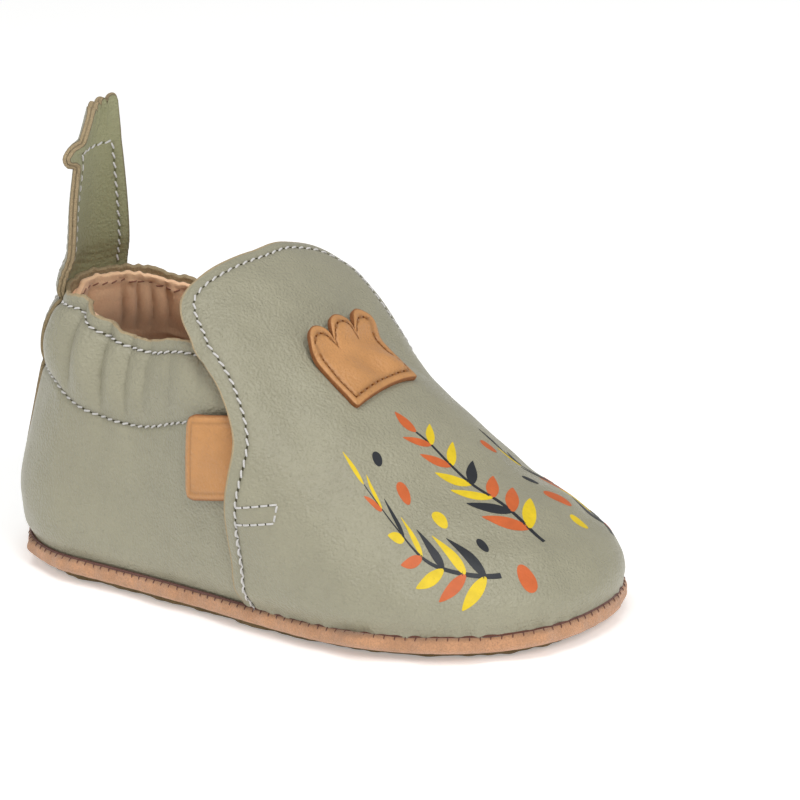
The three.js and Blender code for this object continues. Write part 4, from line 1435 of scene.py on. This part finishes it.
    def sew(self) -> None:
        """Sews the edges, the wrist and the crossed box between the collar's lines."""
        sewing = Sewing("strap_stitches", WHITE_THREAD, "leather")
        seam = Seam(lift=0.06)
        rise = np.linspace(-self.quarter.form.collar_rise + 1.5, self.tab_rise, 240)
        for share in self.edge_lines(rise):
            sewing.add(seam, *self.line(self.skin, self.row_rises, rise, share))
        wrist = np.linspace(-1, 1, 24) * (1 - self.inset / self.half(np.array(self.tab_rise)))
        sewing.add(seam, *self.line(self.skin, self.row_rises, np.full(24, self.tab_rise), wrist))
        middle = self.quarter.columns // 2
        high, low = -self.quarter.collar_line, -float(self.quarter.low_line[self.quarter.rows // 2, middle])
        end = 1 - self.inset / float(self.half(np.array(high)))
        path = np.linspace(0.0, 1.0, 40)
        box = [
            (np.full(40, high), np.linspace(-1, 1, 40)),
            (np.full(40, low), np.linspace(-1, 1, 40)),
            (high + (low - high) * path, end * (1 - 2 * path)),
            (high + (low - high) * path, end * (2 * path - 1)),
        ]
        for heights, shares in box:
            sewing.add(seam, *self.line(self.skin, self.row_rises, heights, shares))
        sewing.make()
        facing = Sewing("tab_stitches", WHITE_THREAD, "leather", OLIVE_HOLE_SHADE)
        rise = np.linspace(0.5, self.tab_rise, 120)
        for share in self.edge_lines(rise):
            facing.add(seam, *self.line(self.inside, self.inside_rises, rise, share))
        facing.add(seam, *self.line(self.inside, self.inside_rises, np.full(24, self.tab_rise), wrist))
        facing.make()


# Side tab and flap patch


@dataclass
class SideTab:
    """Small folded tab of tan leather, held under the vamp's free edge."""

    quarter: Quarter
    thick: float = 1.3
    height: float = 16.0
    reach: float = 11.0
    tuck: float = 2.5
    rise: float = 20.1
    corner: float = 2.0
    slope: float = 0.17
    steps: int = 56

    def edge_at_rise(self, rise: Array) -> Array:
        """Station of the vamp's rear edge on the outer side at a height."""
        form = self.quarter.form

        def climbed(along: Array) -> Array:
            """Share of the arch climbed at a station."""
            return np.arcsin(np.minimum(1.0, rise / form.ridge_rise(along))) / (pi / 2)

        first = table_at(form.edge, 1, climbed(np.full_like(rise, 0.5)))
        return table_at(form.edge, 1, climbed(first))

    def build(self) -> None:
        """Makes the tab: a plate with rounded rear corners, a pressed border and a soft fold."""
        form = self.quarter.form
        u = np.linspace(0.0, 1.0, self.steps)[:, None]
        v = np.linspace(0.0, 1.0, self.steps)[None]
        u, v = np.broadcast_arrays(u, v)
        upright = self.rise + self.height * v
        front = self.edge_at_rise(upright) + self.tuck / form.length
        rear = self.edge_at_rise(np.array(self.rise)) - self.reach / form.length
        along = front + (rear - front) * np.sin(pi / 2 * u)
        back = (along - rear) * form.length
        past = clamp(1 - back / self.corner)
        cut = self.corner * (1 - np.sqrt(np.maximum(0.0, 1 - past**2)))
        rise = self.rise + cut + (self.height - 2 * cut) * v
        surface = form.point(along, OUTER, rise + self.slope * back * (1 - 0.75 * v))
        out = grid_normals(surface, surface * [0.2, 1, 0])
        from_edge = np.minimum(np.minimum(back, (rise - self.rise)), self.rise + self.height - rise)
        border = 0.2 * bell(from_edge - 1.25, 0.3)
        crown = 0.3 * ease(from_edge / 1.0) - 0.3 + 0.12 * waves(surface, 7.0, 33) * ease(from_edge / 2.0)
        lift = 0.7 + 0.5 * ease(1 - back / 6.0)
        face = surface + out * (lift + self.thick + crown - border)[..., None]
        under = surface + out * (lift - 0.1)[..., None]
        solid = shell(face, under, rim=6, fullness=0.7, wear=0.4)
        # Painted shade in the groove of the pressed border.
        dent = 0.6 * bell(from_edge - 1.25, 0.28)
        solid.values["dent"] = np.concatenate([dent.ravel(), np.zeros(len(solid.points) - dent.size)])
        solid.values["raw"] *= 0.55
        ride(solid.make("side_tab_leather", TAN), "tan", "side_tab")


@dataclass
class FlapPatch:
    """Thick tan leather motif with a lobed top, sewn on the vamp over the instep."""

    vamp: Vamp
    thick: float = 1.35
    base: float = 0.65
    shift: float = 1.0
    width: float = 19.0
    height: float = 14.0
    lobes: int = 3
    lobe_depth: float = 3.4
    roundness: float = 1.25
    inset: float = 1.3
    curl: float = 1.9
    columns: int = 109
    rows: int = 60

    def outline(self, up: Array, across: Array) -> tuple[Array, Array]:
        """Distance up from the lower edge and side-to-side place of a share up and across."""
        corner = 0.9 * (1 - np.sqrt(np.maximum(0.0, 1 - clamp((np.abs(across) - 0.9) / 0.1) ** 2)))
        top = self.height - self.lobe_depth * scallop(across, self.lobes, self.roundness)
        rise = corner + (top - corner) * up
        return rise, across * self.width / 2 - self.shift

    def build(self) -> None:
        """Makes the patch, its tips lifting off the vamp, and its ochre stitches."""
        up = np.linspace(0.0, 1.0, self.rows)[:, None]
        across = np.linspace(-1.0, 1.0, self.columns)[None]
        up, across = np.broadcast_arrays(up, across)
        rise, y = self.outline(up, across)
        along = self.base - rise / self.vamp.form.length
        ground, out = self.vamp.skin.at(*self.vamp.at_place(along, y))
        side = (1 - np.abs(across)) * self.width / 2
        notches = scallop(across, self.lobes, self.roundness)
        top = (1 - up) * (self.height - self.lobe_depth * notches)
        from_edge = np.minimum(np.minimum(side, rise), top)
        lift = self.curl * ease((rise - 8.0) / 5.0) ** 1.5
        lift = lift + 0.3 * waves(ground, 8.0, 31) * ease(from_edge / 2)
        lift = lift + 0.3 * ease((np.abs(across) - 0.72) / 0.28) * ease((rise - 5.0) / 7.0)
        dome = 0.4 * ease(from_edge / 0.9) - 0.4
        dip = 0.32 * bell(from_edge - self.inset, 0.5)
        face = ground + out * (self.thick + lift + dome - dip)[..., None]
        under = ground + out * (0.02 + lift * 0.9)[..., None]
        solid = shell(face, under, rim=6, fullness=0.25, wear=0.45)
        # Painted shade in the groove of the stitches.
        dent = 0.9 * bell(from_edge - self.inset, 0.4)
        solid.values["dent"] = np.concatenate([dent.ravel(), np.zeros(len(solid.points) - dent.size)])
        ride(solid.make("patch_leather", TAN), "tan", "flap_patch")
        self.sew(Skin(face, grid_normals(face, out)), from_edge)

    def sew(self, skin: Skin, from_edge: Array) -> None:
        """Sews round the patch, inside its edge."""
        sewing = Sewing("patch_stitches", OCHRE_THREAD, "tan", TAN_HOLE_SHADE)
        seam = Seam(pitch=1.75, reach=1.3, thick=0.19, lift=0.12, slant=6.0)
        columns = np.arange(self.columns, dtype=float)
        half = self.width / 2
        first = self.inset / half * (self.columns - 1) / 2
        keep = (columns >= first) & (columns <= self.columns - 1 - first)
        notches = scallop(np.linspace(-1, 1, self.columns), self.lobes, self.roundness)
        rise_share = self.inset / (self.height - self.lobe_depth * notches)
        low = rise_share * (self.rows - 1)
        high = (1 - rise_share) * (self.rows - 1)
        for rows in (low, high):
            sewing.add(seam, *skin.at(rows[keep], columns[keep]))
        for column in (first, self.columns - 1 - first):
            rows = np.linspace(0.13, 0.8, 30) * (self.rows - 1)
            sewing.add(seam, *skin.at(rows, np.full(30, column)))
        sewing.make()


# Sole


@dataclass
class SoleUnit:
    """Suede sole with a soft lumpy edge, rough tread layer, insole and the seam to the upper."""

    form: FootForm
    count: int = 190
    tread: float = 1.3
    bottom: float = 1.5
    swell: float = 1.0
    tuck: float = 2.0
    lump: float = 0.3

    def folded(self, offset: Array, z: Array, steps: int) -> list[Array]:
        """Flat rings from the centre line out to an offset outline."""
        edge = self.form.outline(offset, z, self.count)
        mirrored = np.concatenate([edge[:1], edge[:0:-1]])
        centre = (edge + mirrored) / 2
        shares = np.linspace(0.0, 1.0, steps + 1)[:-1]
        return [centre + (edge - centre) * share for share in shares]

    def build(self) -> None:
        """Makes sole, tread, insole, seam thread and the small stitches over the seam."""
        form, count = self.form, self.count
        ring = form.outline(0.0, 0.0, count)
        lumps = self.lump * waves(ring, 11.0, 41) + 0.16 * waves(ring, 4.2, 42)
        puffs = 0.2 * np.abs(np.sin(lengths_along(ring) * pi / 4.1 + waves(ring, 15.0, 44))) ** 0.8
        top = form.seam_z + 0.05
        middle, half = (self.bottom + top) / 2, (top - self.bottom) / 2
        stack = self.folded(-self.tuck, self.bottom, 6)
        for turn in np.linspace(-pi / 2, pi / 2, 19):
            pull = self.tuck + self.swell if turn < 0 else self.swell * 0.95
            offset = self.swell - pull * (1 - cos(turn)) + (lumps + puffs) * cos(turn) ** 0.8
            stack.append(form.outline(offset, middle + half * sin(turn) + 0.5 * lumps * cos(turn), count))
        stack.append(form.outline(-1.2, top + 0.05, count))
        stack.append(form.outline(-1.7, 4.4, count))
        stack += self.folded(-1.9, 3.5, 3)[::-1]
        sole = rings(np.array(stack))
        height = sole.points[:, 2]
        # Painted shade in the crease of the seam above and where the tread meets the sole below.
        sole.values["dent"] = 0.9 * bell(height - top, 0.5) + 0.35 * bell(height - self.bottom, 0.5)
        ride(sole.make("sole_suede", PEACH), "suede", "sole")

        rough = 0.25 * waves(ring, 5.0, 43) - 1.1 * ease((ring[:, 0] - 5.0) / 30.0)
        stack = self.folded(-4.0, 0.0, 6)
        for offset, z in ((-2.7, 0.0), (-2.1, 0.25), (-1.8, 0.8), (-1.9, 1.5)):
            stack.append(form.outline(offset + rough, z, count))
        stack += self.folded(-4.0, 1.55, 4)[::-1]
        tread = rings(np.array(stack))
        tread.values["dent"] = np.zeros(len(tread.points))
        ride(tread.make("tread_suede", BROWN), "tread", "tread")

        stack = self.folded(-2.2, 3.7, 4)
        for offset, z in ((-1.9, 3.8), (-1.75, 4.6), (-1.9, 5.2), (-2.6, 5.45)):
            stack.append(form.outline(offset, z, count))
        stack += self.folded(-3.2, 5.5, 8)[::-1]
        insole = rings(np.array(stack))
        insole.values["dent"] = np.zeros(len(insole.points))
        ride(insole.make("insole_suede", LINING), "suede", "insole")
        self.sew(top, lumps + puffs)

    def sew(self, top: float, lumps: Array) -> None:
        """Lays the seam in the crease, a dark tube that is thread and painted shadow of the crease, and
        ticks over the sole's upper edge.

        Args:
            top: Height of the seam.
            lumps: Unevenness of the sole's edge at each column of its rings.
        """
        form, count = self.form, self.count
        # The tube is the seam's thread, and its dark colour is also painted shadow in the crease between
        # upper and sole.
        ring = form.outline(0.12, top, count)
        out = unit(ring - form.outline(-0.5, top, count))
        turn = (np.arange(7) / 6 * 2 * pi)[:, None, None]
        radius = 0.3
        tube = ring[None] + radius * (out[None] * np.cos(turn) + np.array([0, 0, 1.0]) * np.sin(turn))
        solid = rings(tube)
        solid.values = {
            "run": np.broadcast_to(lengths_along(ring)[None], tube.shape[:2]).ravel(),
            "turn": np.broadcast_to((turn[..., 0] / (2 * pi)), tube.shape[:2]).ravel(),
        }
        ride(solid.make("seam_thread_and_shadow", RUST_THREAD), "suede")
        half = (top - self.bottom) / 2
        turn = radians(62.0)
        offset = self.swell - self.swell * 0.95 * (1 - cos(turn)) + lumps * cos(turn) ** 0.8
        edge = form.outline(offset, top - half * (1 - sin(turn)), count)
        up = np.array([0.0, 0.0, 1.0])
        normals = unit(out * half * cos(turn) ** 0.8 + up * self.swell * sin(turn))
        closed = np.concatenate([edge, edge[:1]])
        seam = Seam(pitch=2.05, reach=1.1, thick=0.11, lift=0.1, sunk=0.2, slant=82.0)
        solid = seam.sew(closed, np.concatenate([normals, normals[:1]]))
        ride(solid.make("seam_ticks", RUST_THREAD), "suede")


# Print


class Tint(Enum):
    """The print's three colours."""

    DARK = "dark"
    ORANGE = "orange"
    YELLOW = "yellow"


@dataclass
class SprigPrint:
    """Generic plant sprigs printed on the vamp: stems, paired leaves and round berries."""

    vamp: Vamp
    proud: float = 0.05
    shapes: dict[Tint, list[Solid]] = field(default_factory=lambda: {tint: [] for tint in Tint})

    def lay(self, tint: Tint, ahead: Array, aside: Array) -> None:
        """Adds one printed shape, a grid on the flattened face."""
        ground, out = self.vamp.skin.at(*self.vamp.on_chart(ahead, aside))
        solid = shell(ground + out * self.proud, ground - out * 0.08, rim=2, fullness=0.2)
        self.shapes[tint].append(solid)

    def leaf(self, tint: Tint, root: tuple[float, float], angle: float, length: float, width: float) -> None:
        """Adds a pointed leaf.

        Args:
            tint: Its colour.
            root: Its foot, ahead and aside.
            angle: Its direction in degrees from the toe-to-heel line.
            length: Its length.
            width: Its greatest width.
        """
        t = np.linspace(0.02, 0.98, 16)[:, None]
        s = np.linspace(-1.0, 1.0, 9)[None]
        half = width / 2 * np.sin(pi * t**0.8) ** 0.85
        bend = 0.1 * length * t * t
        a, b = t * length + 0 * s, s * half + bend
        c, d = cos(radians(angle)), sin(radians(angle))
        self.lay(tint, root[0] + a * c - b * d, root[1] + a * d + b * c)

    def berry(self, tint: Tint, middle: tuple[float, float], radius: float) -> None:
        """Adds a round berry, as a square grid pressed into a disc."""
        u = np.linspace(-1.0, 1.0, 12)[:, None]
        v = np.linspace(-1.0, 1.0, 12)[None]
        a, b = u * np.sqrt(1 - v * v / 2), v * np.sqrt(1 - u * u / 2)
        self.lay(tint, middle[0] + a * radius, middle[1] + b * radius)

    def stem(self, points: Array, width: float) -> Array:
        """Adds a stem along a smooth line, thinner to its end, and gives that line."""
        t = np.linspace(0.0, 1.0, len(points))
        fine = np.linspace(0.0, 1.0, 40)
        order = min(3, len(points) - 1)
        line = np.stack([np.polyval(np.polyfit(t, column, order), fine) for column in points.T], 1)
        run = np.gradient(line, axis=0)
        run /= np.linalg.norm(run, axis=1, keepdims=True)
        s = np.linspace(-1.0, 1.0, 4)[None] * (width / 2 * (1 - 0.5 * fine))[:, None]
        self.lay(Tint.DARK, line[:, :1] - run[:, 1:] * s, line[:, 1:] + run[:, :1] * s)
        return line

    def sprig(
        self, points: Sequence[Sequence[float]], pairs: int, size: float, tints: Sequence[Tint]
    ) -> None:
        """Adds a sprig: a stem with paired leaves that shorten to its tip, and a berry on top."""
        line = self.stem(np.array(points, float), 0.9)
        run = np.gradient(line, axis=0)
        for k in range(pairs):
            at = int((0.14 + 0.76 * k / max(1, pairs - 1)) * 39)
            heading = np.degrees(np.arctan2(run[at, 1], run[at, 0]))
            length = size * (1 - 0.45 * k / pairs)
            for side in (-1, 1):
                tint = tints[(2 * k + (side > 0)) % len(tints)]
                root = (line[at, 0], line[at, 1])
                self.leaf(tint, root, heading + side * 44, length, length * 0.3)
        heading = float(np.degrees(np.arctan2(run[-1, 1], run[-1, 0])))
        self.leaf(tints[0], (line[-1, 0], line[-1, 1]), heading, size * 0.6, size * 0.24)

    def build(self) -> None:
        """Makes the print, one piece for each colour."""
        cycle = (Tint.ORANGE, Tint.YELLOW, Tint.DARK, Tint.ORANGE, Tint.YELLOW)
        self.sprig([(18.0, -4.0), (28.0, -3.5), (39.0, -3.0), (51.0, -4.0)], 6, 9.5, cycle)
        self.sprig([(23.0, -19.0), (32.0, -25.5), (44.0, -29.0), (57.0, -26.0)], 6, 9.5, cycle[1:])
        self.sprig([(20.0, 19.0), (30.0, 24.0), (40.0, 24.5), (49.0, 19.0)], 5, 8.5, cycle[2:])
        for tint, ahead, aside, radius in (
            (Tint.ORANGE, 17.5, -15.0, 2.3), (Tint.DARK, 27.0, -15.5, 1.3), (Tint.YELLOW, 36.0, -16.0, 1.7),
            (Tint.ORANGE, 27.5, 11.5, 2.4), (Tint.DARK, 34.5, 12.0, 1.4), (Tint.YELLOW, 20.5, 10.0, 1.7),
            (Tint.ORANGE, 44.5, -17.0, 1.9), (Tint.ORANGE, 45.0, 11.5, 1.6), (Tint.DARK, 52.0, -16.0, 1.3),
        ):  # fmt: skip
            self.berry(tint, (ahead, aside), radius)
        for tint, shapes in self.shapes.items():
            ride(Solid.joined(shapes).make(f"print_{tint.value}", INKS[tint.value]), "leather")


# Studio


@dataclass
class Studio:
    """Pale floor, soft lights and the camera at the photograph's angle."""

    azimuth: float = 38.0
    elevation: float = 20.5
    roll: float = -3.0
    distance: float = 0.9
    focal: float = 4560.0
    picture: int = 800
    origin: tuple[float, float] = (315.0, 579.0)

    def camera(self) -> None:
        """Places the camera so that the frame's origin falls where the photograph has it."""
        a, e, r = radians(self.azimuth), radians(self.elevation), radians(self.roll)
        back = Vector((sin(a) * cos(e), -cos(a) * cos(e), sin(e)))
        right = Vector((cos(a), sin(a), 0.0))
        up = back.cross(right)
        x_axis, y_axis = right * cos(r) + up * sin(r), up * cos(r) - right * sin(r)
        dx = (self.picture / 2 - self.origin[0]) / self.focal
        dy = (self.picture / 2 - self.origin[1]) / self.focal
        back_turned = (back - x_axis * dx + y_axis * dy).normalized()
        x_turned = (x_axis - back_turned * x_axis.dot(back_turned)).normalized()
        y_turned = back_turned.cross(x_turned)
        data = bpy.data.cameras.new("camera")
        data.sensor_width = 36.0
        data.lens = self.focal / self.picture * 36.0
        data.clip_start, data.clip_end = 0.05, 50.0
        camera = bpy.data.objects.new("camera", data)
        turn = Matrix((x_turned, y_turned, back_turned)).transposed()
        camera.matrix_world = Matrix.Translation(back * self.distance) @ turn.to_4x4()
        bpy.context.scene.collection.objects.link(camera)
        bpy.context.scene.camera = camera

    def light(self, name: str, place: tuple[float, float, float], size: float, power: float) -> None:
        """Adds a soft square light that faces the slipper."""
        data = bpy.data.lights.new(name, "AREA")
        data.size, data.energy = size, power
        light = bpy.data.objects.new(name, data)
        light.location = place
        light.rotation_euler = (Vector(place) - Vector((0, 0, 0.03))).to_track_quat("Z", "Y").to_euler()
        bpy.context.scene.collection.objects.link(light)

    def floor(self) -> None:
        """Lays the floor just under the tread."""
        half = 4000.0
        corners = np.array([[-half, -half], [half, -half], [half, half], [-half, half]])
        top = np.column_stack([corners, np.full(4, -0.05)])
        low = np.column_stack([corners, np.full(4, -20.0)])
        solid = rings(np.stack([low * [0, 0, 1], low, top, top * [0, 0, 1]]))
        made = solid.make("studio_floor", Plain("studio_floor", "#fbfbfa"))

    def build(self) -> None:
        """Makes the studio."""
        self.floor()
        self.camera()
        self.light("front", (1.05, -0.5, 0.9), 0.6, 8.2)
        self.light("left", (-0.45, -0.95, 1.0), 0.45, 2.7)
        self.light("above", (0.1, -0.3, 1.4), 0.8, 7.4)
        world = bpy.data.worlds.new("studio")
        world.use_nodes = True
        world.node_tree.nodes["Background"].inputs[0].default_value = (1.0, 1.0, 1.0, 1.0)
        world.node_tree.nodes["Background"].inputs[1].default_value = 0.36
        bpy.context.scene.world = world
        bpy.context.scene.view_settings.view_transform = "Standard"


def main() -> None:
    """Builds the slipper piece by piece, then the studio."""
    logging.basicConfig(level=logging.INFO, format="%(name)s: %(message)s")
    form = FootForm()
    quarter, vamp = Quarter(form), Vamp(form)
    quarter.build()
    vamp.build()
    HeelStrap(quarter).build()
    SideTab(quarter).build()
    FlapPatch(vamp).build()
    SoleUnit(form).build()
    SprigPrint(vamp).build()
    Studio().build()


if __name__ == "__main__":
    main()
